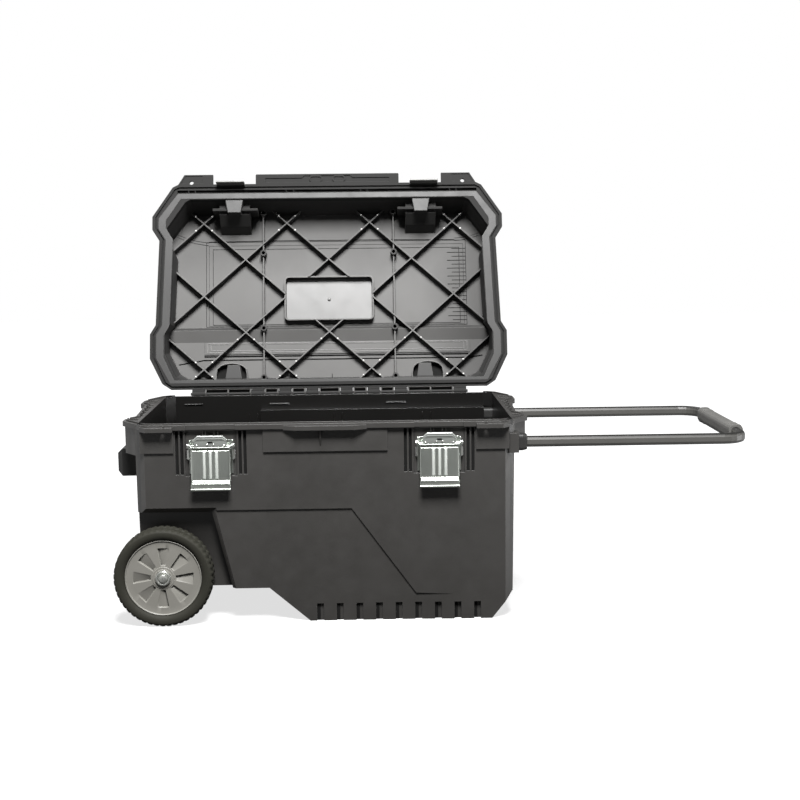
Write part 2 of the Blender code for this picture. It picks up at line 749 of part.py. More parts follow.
def make_tub(material):
    """The tub, from its outside shape to the holes for everything that is fixed to it."""
    tub = prism("body_shell", tub_plan(0), "Z", -OVERRUN, RIM_HEIGHT - FLANGE_THICKNESS / 2)
    overlap_of(tub, prism("side", tub_profile(), "Y", -TUB_HALF_DEPTH * 2, TUB_HALF_DEPTH * 2))

    rim = rim_outline()
    skirt = [
        (x, max(y, -TUB_HALF_DEPTH + TUB_WALL / 2)) for x, y in inset(rim, SKIRT_INSET)
    ]
    added = front_pads()
    added.append(prism("skirt", skirt, "Z", SKIRT_BOTTOM, RIM_HEIGHT - FLANGE_THICKNESS / 3))
    added.append(prism("flange", rim, "Z", RIM_HEIGHT - FLANGE_THICKNESS, RIM_HEIGHT))
    added.append(
        tongue_ring(RIM_HEIGHT - TONGUE_HEIGHT, RIM_HEIGHT + TONGUE_HEIGHT, TONGUE_INSET, TONGUE_WIDTH)
    )
    added += bush_pads()
    combine(tub, "UNION", added)
    combine(tub, "DIFFERENCE", [make_cavity()])
    combine(tub, "UNION", mirrored(latch_backing) + hinge_cups())

    cuts = end_pockets()
    for side in (-1, 1):
        cuts += latch_pocket_cuts(side)
        cuts += wall_cuts(side)
    cuts.append(axle_slot())
    bore = circle((WHEEL_X, WHEEL_RADIUS), AXLE_DIAMETER / 2 + RUNNING_GAP)
    cuts.append(prism("axle_bore", bore, "Y", -TUB_HALF_DEPTH, TUB_HALF_DEPTH))
    cuts.append(hinge_bore(ROD_HALF_LENGTH + OVERRUN))
    cuts += grip_screw_holes()
    cuts += rivet_holes()
    combine(tub, "DIFFERENCE", cuts)
    return finished(tub, material)


def axle_slot():
    """The channel under the tub for the axle, closed at each end by a cheek that holds it."""
    half = WELL_WALL - AXLE_CHEEK
    top = WHEEL_RADIUS + AXLE_DIAMETER / 2 + RUNNING_GAP
    return box(
        "axle_slot",
        (WHEEL_X - AXLE_SLOT_HALF_WIDTH, WHEEL_X + AXLE_SLOT_HALF_WIDTH),
        (-half, half),
        (0, top),
    )


def wall_cuts(side):
    """Wheel well, stepped panel, foot slots, lock hole and tube hole on one long side."""
    outside = side * (TUB_HALF_DEPTH + LIP_REACH * 2)
    rings = []
    for y, grow in (
        (WELL_WALL, 0),
        (TUB_HALF_DEPTH - WELL_BEVEL, 0),
        (TUB_HALF_DEPTH, WELL_BEVEL),
        (TUB_HALF_DEPTH + LIP_REACH, WELL_BEVEL),
    ):
        rings.append([Vector((x, side * y, z)) for x, z in well_outline(grow)])
    cuts = [loft("well", rings)]
    panel = [
        (-TUB_HALF_LENGTH * 2, -OVERRUN),
        (PANEL_TOE, -OVERRUN),
        (PANEL_TOE, PANEL_TOE_HEIGHT),
        (PANEL_CORNER, PANEL_TOP),
        (-TUB_HALF_LENGTH * 2, PANEL_TOP),
    ]
    cuts.append(prism("panel", panel, "Y", side * (TUB_HALF_DEPTH - PANEL_STEP), outside))
    fade = []
    for x, step, high in (
        (PANEL_TOE - SEAT_GAP, PANEL_STEP, PANEL_TOE_HEIGHT),
        (PANEL_END, -SEAT_GAP, PANEL_END_HEIGHT),
    ):
        face = side * (TUB_HALF_DEPTH - step)
        corners = ((face, -OVERRUN), (outside, -OVERRUN), (outside, high), (face, high))
        fade.append([Vector((x, y, z)) for y, z in corners])
    cuts.append(loft("panel_fade", fade))
    for i in range(FOOT_SLOTS):
        middle = FOOT_SLOT_FIRST + i * FOOT_SLOT_PITCH
        span = (middle - FOOT_SLOT_WIDTH / 2, middle + FOOT_SLOT_WIDTH / 2)
        depth = sorted((side * (TUB_HALF_DEPTH - PANEL_STEP - FOOT_SLOT_DEPTH), outside))
        cuts.append(box("foot_slot", span, depth, (-OVERRUN, FOOT_SLOT_HEIGHT)))
    lock = circle((side * LOCK_HOLE_PLACE, lock_hole_y()), LOCK_HOLE_DIAMETER / 2, SMALL_SIDES)
    cuts.append(prism("lock_hole", lock, "Z", RIM_HEIGHT - SKIRT_HEIGHT / 2, RIM_HEIGHT + OVERRUN))
    middle = side * TUBE_PLACE
    half = TUBE_WIDE / 2 + BUSH_PAD_MARGIN
    low, high = TUBE_HEIGHT - BUSH_PAD_HALF_HEIGHT, TUBE_HEIGHT + BUSH_PAD_HALF_HEIGHT
    cuts.append(box("bush_seat", (BUSH_SEAT_X, EAR_HALF), (middle - half, middle + half), (low, high)))
    hole = bush_outline(BUSH_WALL + RUNNING_GAP + SEAT_GAP, side)
    inner = TUB_HALF_LENGTH - TUB_WALL * 4
    cuts.append(prism("tube_hole", hole, "X", inner, BUSH_SEAT_X + OVERRUN))
    return cuts


def lock_hole_y():
    return RIM_FRONT - LOCK_TAB_REACH / 3


def bush_outline(margin, side):
    """The tube's outline grown by a margin, seen along X on one side of the chest."""
    across = TUBE_WIDE / 2 + margin
    up = TUBE_TALL / 2 + margin
    return shifted(rounded(across, up, TUBE_CORNER), side * TUBE_PLACE, TUBE_HEIGHT)


def bush_pads():
    """Flat seats at the pull-handle end for the two bushes."""
    pads = []
    for side in (-1, 1):
        middle = side * TUBE_PLACE
        half = TUBE_WIDE / 2 + BUSH_PAD_MARGIN
        pads.append(
            box(
                "bush_pad",
                (BUSH_SEAT_X - BUSH_PAD_DEPTH, BUSH_SEAT_X),
                (middle - half, middle + half),
                (TUBE_HEIGHT - BUSH_PAD_HALF_HEIGHT, TUBE_HEIGHT + BUSH_PAD_HALF_HEIGHT),
            )
        )
    return pads


def arc(radius, start, end):
    """Points of an arc about the hinge, seen along X, from one angle to another."""
    points = []
    for i in range(SMALL_SIDES + 1):
        angle = start + (end - start) * i / SMALL_SIDES
        points.append((HINGE_Y + radius * math.cos(angle), HINGE_Z + radius * math.sin(angle)))
    return points


def hinge_windows():
    """The spans between neighbouring loops of the lid, less a gap at each side."""
    half = LID_KNUCKLE_WIDTH / 2 + HINGE_SIDE_GAP
    places = sorted([*LID_KNUCKLE_PLACES, *(-p for p in LID_KNUCKLE_PLACES)])
    return [(near + half, far - half) for near, far in zip(places, places[1:])]


def hinge_cups():
    """Hooded cups on the back of the rim between the lid's loops, with webs that carry the rod."""
    root = TUB_HALF_DEPTH - TUB_WALL / 2
    under = RIM_HEIGHT - FLANGE_THICKNESS / 2
    foot = (root, HINGE_Z - HINGE_CUP_DROP)
    outer = arc(HINGE_CUP_RADIUS, *HINGE_CUP_ANGLES)
    inner = arc(HINGE_CUP_RADIUS - HINGE_CUP_WALL, HINGE_CUP_ANGLES[1], HINGE_CUP_FLOOR_ANGLE)
    shell = [foot, *outer, *inner, (root, under)]
    front = HINGE_Y - KNUCKLE_DIAMETER / 2
    web = [
        foot,
        *arc(HINGE_CUP_RADIUS - HINGE_CUP_WALL / 2, *HINGE_WEB_ANGLES),
        (front, HINGE_Z + KNUCKLE_DIAMETER / 4),
        (front, under - SEAT_GAP),
        (root, under - SEAT_GAP),
    ]
    cups = []
    for near, far in hinge_windows():
        cups.append(prism("hinge_cup", shell, "X", near, far))
        places = [near + HINGE_WEB_WIDTH / 2 + SEAT_GAP, far - HINGE_WEB_WIDTH / 2 - SEAT_GAP]
        if far - near > HINGE_WEB_SPAN:
            places.append((near + far) / 2)
        for place in places:
            half = HINGE_WEB_WIDTH / 2
            cups.append(prism("hinge_web", web, "X", place - half, place + half))
    return cups


def hinge_bore(half_length):
    radius = ROD_DIAMETER / 2 + SEAT_GAP
    return prism("hinge_bore", circle((HINGE_Y, HINGE_Z), radius), "X", -half_length, half_length)


def dome_ring(side_inset, front_inset, rear_inset, height):
    """The rim outline drawn in by its own amount at the sides, front and rear."""
    scale_x = (EAR_HALF - side_inset) / EAR_HALF
    depth = RIM_REAR - RIM_FRONT
    scale_y = (depth - front_inset - rear_inset) / depth
    return [
        Vector((x * scale_x, RIM_FRONT + front_inset + (y - RIM_FRONT) * scale_y, height))
        for x, y in rim_outline()
    ]


def lid_dome(wall, bottom, top):
    """The lid's raised part, or the hollow inside it."""
    rings = []
    for side, front, rear, height in (
        (LID_SIDE_FOOT_INSET, LID_FRONT_FOOT_INSET, LID_REAR_FOOT_INSET, bottom),
        (LID_SIDE_TOP_INSET, LID_FRONT_TOP_INSET, LID_REAR_TOP_INSET, top),
    ):
        rings.append(dome_ring(side + wall, front + wall, rear + wall, height))
    return loft("dome", rings)


def from_hinge(distance):
    """A station in the closed lid, measured forwards from the hinge."""
    return HINGE_Y - distance


def lattice_ribs(low, high):
    """Crossing diagonal ribs under the roof of the lid, over its whole width."""
    run = LATTICE_PITCH_X / LATTICE_PITCH_Y
    spread = RIB_THICKNESS / 2 * math.hypot(1, run)
    depth = HINGE_Y - RIM_FRONT
    first = math.floor(-(EAR_HALF + depth * run) / LATTICE_PITCH_X)
    last = math.ceil(EAR_HALF / LATTICE_PITCH_X)
    ribs = []
    for slope in (-1, 1):
        for i in range(first, last):
            start = (i + 1 / 2) * LATTICE_PITCH_X - LATTICE_FIRST_ROW * run
            outline = []
            for distance, ends in ((0, (-spread, spread)), (depth, (spread, -spread))):
                for end in ends:
                    outline.append((slope * (start + distance * run + end), from_hinge(distance)))
            ribs.append(prism("rib", outline, "Z", low, high))
    return ribs


def under_roof(name, middle, half_width, profile):
    """A moulded block under the roof of the lid, from (distance to the hinge, rise above it) points."""
    outline = [(from_hinge(distance), HINGE_Z + rise) for distance, rise in profile]
    return prism(name, outline, "X", middle - half_width, middle + half_width)


def flared_tab(name, middle, edges, low, high):
    """A block under the roof whose width changes between two (distance, half width) edges."""
    outline = []
    for distance, half in edges:
        outline.append((middle - half, from_hinge(distance)))
    for distance, half in reversed(edges):
        outline.append((middle + half, from_hinge(distance)))
    return prism(name, outline, "Z", low, high)


def lid_inside(roof):
    """Everything moulded under the roof of the lid, as separate solids to be joined to it."""
    top = roof + LID_ROOF / 2
    high = top - HINGE_Z
    depth = HINGE_Y - RIM_FRONT
    parts = []
    thick = RIB_THICKNESS / 2
    for side in (-1, 1):
        place = side * STRAP_RIB_PLACE
        span = (from_hinge(STRAP_RIB_FAR), from_hinge(STRAP_RIB_NEAR))
        parts.append(box("strap_rib", (place - thick, place + thick), span, (roof - STRAP_RIB_DEPTH, top)))
        for distance in BOSS_PLACES:
            outline = circle((place, from_hinge(distance)), BOSS_DIAMETER / 2, SMALL_SIDES)
            parts.append(prism("boss", outline, "Z", roof - BOSS_DEPTH, top))
        housing = [
            (depth, HOUSING_RISE),
            (FRONT_TAB_EDGE, HOUSING_RISE),
            (HOUSING_EDGE, HOUSING_STEP),
            (HOUSING_NEAR, high),
            (depth, high),
        ]
        parts.append(under_roof("housing", side * HOUSING_PLACE, HOUSING_HALF_WIDTH, housing))
        ledge = [
            (LEDGE_EDGE, LEDGE_RISE),
            (LEDGE_EDGE + LEDGE_THICKNESS, LEDGE_RISE),
            (LEDGE_EDGE + LEDGE_THICKNESS, high),
            (LEDGE_EDGE, high),
        ]
        parts.append(under_roof("ledge", side * LEDGE_PLACE, LEDGE_HALF_WIDTH, ledge))
        narrow, wide = FRONT_TAB_HALF_WIDTHS
        edges = ((FRONT_TAB_EDGE, narrow), (depth - LID_FRONT_FOOT_INSET, wide))
        bounds = (HINGE_Z + FRONT_TAB_RISE, HINGE_Z + HOUSING_STEP)
        parts.append(flared_tab("front_tab", side * FRONT_TAB_PLACE, edges, *bounds))
        narrow, wide = REAR_TAB_HALF_WIDTHS
        edges = ((REAR_TAB_EDGE, narrow), (0, wide))
        parts.append(flared_tab("rear_tab", side * REAR_TAB_PLACE, edges, HINGE_Z + HOUSING_RISE, top))
    ridge = [
        (from_hinge(RIDGE_NEAR), top),
        (from_hinge(RIDGE_NEAR), roof),
        (from_hinge(RIDGE_CREST), roof - RIDGE_DEPTH),
        (from_hinge(RIDGE_FAR), roof),
        (from_hinge(RIDGE_FAR), top),
    ]
    parts.append(prism("ridge", ridge, "X", -EAR_HALF, EAR_HALF))
    return parts


def boss_bores(roof):
    """The blind bores of the ring bosses beside the strap ribs."""
    bores = []
    for side in (-1, 1):
        for distance in BOSS_PLACES:
            outline = circle((side * STRAP_RIB_PLACE, from_hinge(distance)), BOSS_BORE / 2, SMALL_SIDES)
            bores.append(prism("boss_bore", outline, "Z", roof - BOSS_DEPTH - OVERRUN, roof - LID_ROOF / 4))
    return bores


def lid_front_tabs():
    """Lock tabs and the hand lip that stand forward of the lid's front edge."""
    tabs = []
    thick = LID_FLANGE_THICKNESS * 2 / 3
    root = RIM_FRONT + LID_FRONT_FOOT_INSET / 2
    reach = RIM_FRONT - LID_LIP_REACH
    for side in (-1, 1):
        tab = [
            (side * LID_LOCK_TAB_INNER, root),
            (side * LID_LOCK_TAB_INNER, reach),
            (side * (LID_LOCK_TAB_OUTER - LID_LOCK_TAB_EASE), reach),
            (side * LID_LOCK_TAB_OUTER, RIM_FRONT),
            (side * LID_LOCK_TAB_OUTER, root),
        ]
        tabs.append(prism("lock_tab", tab, "Z", LID_BOTTOM, LID_BOTTOM + thick))
    lip = [
        (LID_LIP_HALF, root),
        (LID_LIP_HALF, reach + LID_LIP_EASE),
        (LID_LIP_HALF - LID_LIP_EASE, reach),
        (-LID_LIP_HALF + LID_LIP_EASE, reach),
        (-LID_LIP_HALF, reach + LID_LIP_EASE),
        (-LID_LIP_HALF, root),
    ]
    tabs.append(prism("lip", lip, "Z", LID_BOTTOM, LID_BOTTOM + thick))
    return tabs


def lip_recess():
    """The stepped recess under the hand lip, with two raised oval rings left standing in it."""
    near = RIM_FRONT - LIP_RECESS_EDGE
    far = RIM_FRONT - LID_LIP_REACH + LIP_RECESS_EDGE
    step = LIP_RECESS_STEP
    middle = LIP_RECESS_MIDDLE_HALF
    half = [
        (LIP_RECESS_HALF, near),
        (LIP_RECESS_HALF, far + step),
        (middle + step, far + step),
        (middle, far),
    ]
    outline = half + [(-x, y) for x, y in reversed(half)]
    low, high = LID_BOTTOM - OVERRUN, LID_BOTTOM + LIP_RECESS_DEPTH
    recess = prism("lip_recess", outline, "Z", low, high)
    rings = []
    place = (near + far) / 2
    length, width, edge = LIP_RING_HALF_LENGTH, LIP_RING_HALF_WIDTH, LIP_RING_EDGE
    outer = rounded(length, width, width - RUNNING_GAP)
    inner = rounded(length - edge, width - edge, width - edge - RUNNING_GAP)
    for side in (-1, 1):
        across = side * LIP_RING_PLACE
        ring = prism("ring", shifted(outer, across, place), "Z", low - OVERRUN, high + OVERRUN)
        past = 2 * OVERRUN
        bore = prism("ring_bore", shifted(inner, across, place), "Z", low - past, high + past)
        rings.append(combine(ring, "DIFFERENCE", [bore]))
    return combine(recess, "DIFFERENCE", rings)


def tab_recess(side):
    """The shallow recess under one lock tab, beside the solid block at its inner end."""
    edge = LID_TAB_RECESS_EDGE
    near = RIM_FRONT - edge
    far = RIM_FRONT - LID_LIP_REACH + edge
    outline = [
        (side * (LID_LOCK_TAB_INNER + LID_LOCK_BLOCK_WIDTH), near),
        (side * (LID_LOCK_TAB_INNER + LID_LOCK_BLOCK_WIDTH), far),
        (side * (LID_LOCK_TAB_OUTER - LID_LOCK_TAB_EASE - edge), far),
        (side * (LID_LOCK_TAB_OUTER - 2 * edge), near),
    ]
    return prism("tab_recess", outline, "Z", LID_BOTTOM - OVERRUN, LID_BOTTOM + LID_TAB_RECESS_DEPTH)


def lid_front_cuts():
    """Lock holes, the recesses of the hand lip and tabs, the seats of the keepers and the front groove."""
    cuts = [lip_recess()]
    groove = RIM_FRONT + INNER_GROOVE_INSET
    reach = FRONT_EDGE_HALF - INNER_GROOVE_END_SETBACK
    span = (groove, groove + INNER_GROOVE_WIDTH)
    bottom = (LID_BOTTOM - OVERRUN, LID_BOTTOM + INNER_GROOVE_DEPTH)
    cuts.append(box("inner_groove", (-reach, reach), span, bottom))
    low = LID_BOTTOM - OVERRUN
    high = LID_BOTTOM + LID_FLANGE_THICKNESS + OVERRUN
    for side in (-1, 1):
        lock = circle((side * LOCK_HOLE_PLACE, lock_hole_y()), LOCK_HOLE_DIAMETER / 2, SMALL_SIDES)
        cuts.append(prism("lock_hole", lock, "Z", low, high))
        cuts.append(tab_recess(side))
        seat = side * LATCH_PLACE
        half = KEEPER_HALF_WIDTH + SEAT_GAP
        back = keeper_y() + LATCH_SHEET + SEAT_GAP
        top = LID_BOTTOM + KEEPER_TOP + SEAT_GAP
        cuts.append(box("keeper_seat", (seat - half, seat + half), (RIM_FRONT - OVERRUN, back), (low, top)))
    return cuts


def keeper_y():
    """Front face of the keeper plates on the closed lid."""
    return RIM_FRONT + LATCH_SHEET / 2


def lid_knuckles():
    """Hinge loops on the back edge of the lid."""
    radius = KNUCKLE_DIAMETER / 2
    root = RIM_REAR - LID_REAR_FOOT_INSET
    top = LID_BOTTOM + LID_FLANGE_THICKNESS
    low = LID_BOTTOM + RUNNING_GAP
    outline = [(root, top - RUNNING_GAP), (root, low), (HINGE_Y - radius, low)]
    steps = SMALL_SIDES
    for i in range(steps + 1):
        angle = math.pi + i * math.pi * 7 / 6 / steps
        outline.append((HINGE_Y + radius * math.cos(angle), HINGE_Z + radius * math.sin(angle)))
    outline.append((HINGE_Y, top - RUNNING_GAP))
    knuckles = []
    for place in (*LID_KNUCKLE_PLACES, *(-p for p in LID_KNUCKLE_PLACES)):
        half = LID_KNUCKLE_WIDTH / 2
        knuckles.append(prism("lid_knuckle", outline, "X", place - half, place + half))
    return knuckles


def centre_box(roof):
    """The frame in the middle of the lid, and the post inside it."""
    middle = from_hinge((CENTRE_BOX_NEAR + CENTRE_BOX_FAR) / 2)
    half = (CENTRE_BOX_FAR - CENTRE_BOX_NEAR) / 2
    top = roof + LID_ROOF / 2
    face = roof - CENTRE_BOX_DEPTH
    frame = shifted(rounded(CENTRE_BOX_HALF, half, CENTRE_BOX_CORNER), 0, middle)
    rim = CENTRE_BOX_RIM
    inside = shifted(rounded(CENTRE_BOX_HALF - rim, half - rim, CENTRE_BOX_CORNER - rim), 0, middle)
    box_frame = prism("centre_box", frame, "Z", face, top)
    combine(box_frame, "DIFFERENCE", [prism("centre_plate", inside, "Z", face - OVERRUN, top + OVERRUN)])
    spot = circle((0, middle), CENTRE_POST_DIAMETER / 2, SMALL_SIDES)
    return [box_frame, prism("centre_post", spot, "Z", roof - rim, top)]


def make_lid(material):
    """The lid, modelled closed and then swung open about the hinge."""
    flange_top = LID_BOTTOM + LID_FLANGE_THICKNESS
    top = LID_BOTTOM + LID_HEIGHT
    roof = top - LID_ROOF
    lid = prism("lid_shell", rim_outline(RIM_REAR - LID_REAR_SETBACK), "Z", LID_BOTTOM, flange_top)
    combine(lid, "UNION", [lid_dome(0, flange_top - OVERRUN, top), *lid_front_tabs(), *lid_knuckles()])
    groove = tongue_ring(
        LID_BOTTOM - OVERRUN,
        LID_BOTTOM + TONGUE_HEIGHT + GROOVE_CLEARANCE,
        TONGUE_INSET - GROOVE_CLEARANCE,
        TONGUE_WIDTH + 2 * GROOVE_CLEARANCE,
    )
    hollow = lid_dome(LID_WALL, LID_BOTTOM - OVERRUN, roof)
    combine(lid, "DIFFERENCE", [hollow, groove])
    ribs = lattice_ribs(roof - RIB_DEPTH, top)
    ribs += lid_inside(roof)
    moulded = combine(ribs[0], "UNION", ribs[1:])
    overlap_of(moulded, lid_dome(LID_WALL / 2, LID_BOTTOM + OVERRUN, top - LID_ROOF / 2))
    near, far = from_hinge(CENTRE_BOX_NEAR), from_hinge(CENTRE_BOX_FAR)
    margin = CENTRE_BOX_RIM / 2
    core = box(
        "core",
        (-CENTRE_BOX_HALF + margin, CENTRE_BOX_HALF - margin),
        (far + margin, near - margin),
        (LID_BOTTOM, top),
    )
    combine(moulded, "DIFFERENCE", [core])
    combine(lid, "UNION", [moulded, *centre_box(roof)])
    cuts = lid_front_cuts() + keeper_rivet_holes() + boss_bores(roof)
    cuts.append(hinge_bore(ROD_HALF_LENGTH + OVERRUN))
    combine(lid, "DIFFERENCE", cuts)
    return hang_on(finished(lid, material), HINGE, OPEN_TURN)


def turned(name, axis, centre, stations, sides=ROUND_SIDES):
    """A round solid along an axis, from its (place, radius) stations."""
    rings = []
    for along, radius in stations:
        rings.append([placed(axis, along, a, b) for a, b in circle(centre, radius, sides)])
    return loft(name, rings)


def rivet_stations(head, grip_end, tail):
    """Head, shank and tail of a rivet that enters at head and is spread at grip_end."""
    way = 1 if grip_end > head else -1
    return [
        (head - way * RIVET_HEAD_THICKNESS, RIVET_HEAD_DIAMETER / 3),
        (head - way * RIVET_HEAD_THICKNESS / 3, RIVET_HEAD_DIAMETER / 2),
        (head, RIVET_HEAD_DIAMETER / 2),
        (head, RIVET_DIAMETER / 2),
        (grip_end, RIVET_DIAMETER / 2),
        (grip_end, RIVET_DIAMETER * 3 / 4),
        (grip_end + way * tail, RIVET_DIAMETER * 3 / 4),
    ]


def rivet_holes():
    """Holes through the pocket walls for the rivets of both latch bases."""
    holes = []
    for side in (-1, 1):
        for height in BASE_RIVET_HEIGHTS:
            radius = RIVET_DIAMETER / 2 + SEAT_GAP
            outline = circle((side * LATCH_PLACE, height), radius, SMALL_SIDES)
            holes.append(prism("rivet_hole", outline, "Y", POCKET_FLOOR - OVERRUN, POCKET_BACKING + OVERRUN))
    return holes


def keeper_rivet_spots():
    """Across and up places of the rivets that hold the two keepers, on the closed lid."""
    height = LID_BOTTOM + KEEPER_RIVET_HEIGHT
    return [
        (side * LATCH_PLACE + end * KEEPER_RIVET_PLACE, height) for side in (-1, 1) for end in (-1, 1)
    ]


def keeper_rivet_holes():
    """Blind holes in the front of the lid for the keepers' rivets."""
    holes = []
    depth = keeper_y() + LATCH_SHEET + KEEPER_RIVET_LENGTH + SEAT_GAP
    for spot in keeper_rivet_spots():
        outline = circle(spot, RIVET_DIAMETER / 2 + SEAT_GAP, SMALL_SIDES)
        holes.append(prism("keeper_hole", outline, "Y", RIM_FRONT - OVERRUN, depth))
    return holes


def make_latch_base(side, name, material):
    """The riveted steel base with a side ear on each edge for the lever's pin."""
    middle = side * LATCH_PLACE
    back = POCKET_FLOOR - SEAT_GAP
    front = back - LATCH_SHEET
    base = box(
        name,
        (middle - BASE_HALF_WIDTH, middle + BASE_HALF_WIDTH),
        (front, back),
        (BASE_BOTTOM, BASE_TOP),
    )
    ear_radius = PIVOT_HEAD_DIAMETER / 2
    foot = PIVOT_HEIGHT - EAR_FLANGE_LENGTH
    ear = [
        (back - SEAT_GAP, BASE_TOP - SEAT_GAP),
        (back - SEAT_GAP, foot),
        (PIVOT_Y, foot),
        (PIVOT_Y - ear_radius, PIVOT_HEIGHT - ear_radius),
        (PIVOT_Y - ear_radius, PIVOT_HEIGHT + ear_radius / 2),
        (PIVOT_Y - ear_radius / 2, PIVOT_HEIGHT + ear_radius),
    ]
    ears = []
    for end in (-1, 1):
        edge = middle + end * BASE_HALF_WIDTH
        ears.append(prism("ear", ear, "X", *sorted((edge, edge - end * LATCH_SHEET))))
    combine(base, "UNION", ears)
    bore = circle((PIVOT_Y, PIVOT_HEIGHT), PIVOT_PIN_DIAMETER / 2 + SEAT_GAP, SMALL_SIDES)
    past = BASE_HALF_WIDTH + OVERRUN
    cuts = [prism("bore", bore, "X", middle - past, middle + past)]
    for height in BASE_RIVET_HEIGHTS:
        hole = circle((middle, height), RIVET_DIAMETER / 2 + SEAT_GAP, SMALL_SIDES)
        cuts.append(prism("hole", hole, "Y", front - OVERRUN, back + OVERRUN))
    combine(base, "DIFFERENCE", cuts)
    return finished(base, material)


def make_lever(side, name, material):
    """The pressed lever: a flat plate with three flutes, a turned-out lip and a cheek on each side."""
    middle = side * LATCH_PLACE
    back = PIVOT_Y - LEVER_STANDOFF
    front = back - LATCH_SHEET
    top = PIVOT_HEIGHT - LEVER_TOP_DROP
    bottom = PIVOT_HEIGHT - LEVER_LENGTH
    bend = bottom + LEVER_LIP_HEIGHT
    plate = [
        (back, top),
        (back, bend),
        (back - LEVER_LIP_REACH, bottom),
        (front - LEVER_LIP_REACH, bottom),
        (front, bend + LATCH_SHEET / 2),
        (front, top),
    ]
    lever = prism(name, plate, "X", middle - LEVER_HALF_WIDTH, middle + LEVER_HALF_WIDTH)
    radius = PIVOT_HEAD_DIAMETER / 2
    nose = CLAW_PIN_Y - CLAW_PIN_DIAMETER
    cheek = [
        (front + SEAT_GAP, top - CHEEK_LENGTH),
        (back + LATCH_SHEET, top - CHEEK_LENGTH),
        (PIVOT_Y + radius, PIVOT_HEIGHT - radius / 2),
        (PIVOT_Y + radius, PIVOT_HEIGHT + radius / 2),
        (PIVOT_Y + radius / 2, PIVOT_HEIGHT + radius),
        (CLAW_PIN_Y, PIVOT_HEIGHT + radius / 2),
        (nose, CLAW_PIN_Z + CLAW_PIN_DIAMETER / 2),
        (nose, CLAW_PIN_Z - CLAW_PIN_DIAMETER / 2),
        (front + SEAT_GAP, top - LATCH_SHEET),
    ]
    parts = []
    for end in (-1, 1):
        edge = middle + end * (LEVER_HALF_WIDTH - SEAT_GAP / 2)
        parts.append(prism("cheek", cheek, "X", *sorted((edge, edge - end * LATCH_SHEET))))
    for step in (-1, 0, 1):
        place = middle + step * FLUTE_PITCH
        flute = [
            (place - FLUTE_WIDTH / 2, back - LATCH_SHEET / 2),
            (place - FLUTE_WIDTH / 4, front - FLUTE_PROUD),
            (place + FLUTE_WIDTH / 4, front - FLUTE_PROUD),
            (place + FLUTE_WIDTH / 2, back - LATCH_SHEET / 2),
        ]
        high = PIVOT_HEIGHT - FLUTE_TOP_DROP
        parts.append(prism("flute", flute, "Z", high - FLUTE_LENGTH, high))
    combine(lever, "UNION", parts)
    past = LEVER_HALF_WIDTH + OVERRUN
    cuts = []
    for spot, diameter in (
        ((PIVOT_Y, PIVOT_HEIGHT), PIVOT_PIN_DIAMETER),
        ((CLAW_PIN_Y, CLAW_PIN_Z), CLAW_PIN_DIAMETER),
    ):
        bore = circle(spot, diameter / 2 + SEAT_GAP, SMALL_SIDES)
        cuts.append(prism("bore", bore, "X", middle - past, middle + past))
    combine(lever, "DIFFERENCE", cuts)
    return hang_on(finished(lever, material), Vector((middle, PIVOT_Y, PIVOT_HEIGHT)))


def make_claw(side, name, material):
    """The plate that hooks over the keeper, with a knuckle for its pin, leaning out at rest."""
    middle = side * LATCH_PLACE
    radius = CLAW_KNUCKLE_DIAMETER / 2
    spot = (CLAW_PIN_Y, CLAW_PIN_Z)
    left, right = middle - CLAW_HALF_WIDTH, middle + CLAW_HALF_WIDTH
    claw = prism(name, circle(spot, radius, SMALL_SIDES), "X", left, right)
    top = CLAW_PIN_Z + CLAW_HEIGHT
    plate = [
        (left + SEAT_GAP, CLAW_PIN_Z),
        (right - SEAT_GAP, CLAW_PIN_Z),
        (right - SEAT_GAP, top - CLAW_CORNER),
        (right - CLAW_CORNER, top),
        (left + CLAW_CORNER, top),
        (left + SEAT_GAP, top - CLAW_CORNER),
    ]
    half = LATCH_SHEET / 2
    parts = [
        prism("plate", plate, "Y", CLAW_PIN_Y - half, CLAW_PIN_Y + half),
        box(
            "hook",
            (left + CLAW_CORNER + SEAT_GAP, right - CLAW_CORNER - SEAT_GAP),
            (CLAW_PIN_Y, CLAW_PIN_Y + half + CLAW_HOOK),
            (top - LATCH_SHEET, top - SEAT_GAP / 2),
        ),
    ]
    combine(claw, "UNION", parts)
    bore = circle(spot, CLAW_PIN_DIAMETER / 2 + SEAT_GAP, SMALL_SIDES)
    combine(claw, "DIFFERENCE", [prism("bore", bore, "X", left - OVERRUN, right + OVERRUN)])
    pin = Vector((middle, CLAW_PIN_Y, CLAW_PIN_Z))
    return hang_on(finished(claw, material), pin, Matrix.Rotation(CLAW_TILT, 4, "X"))


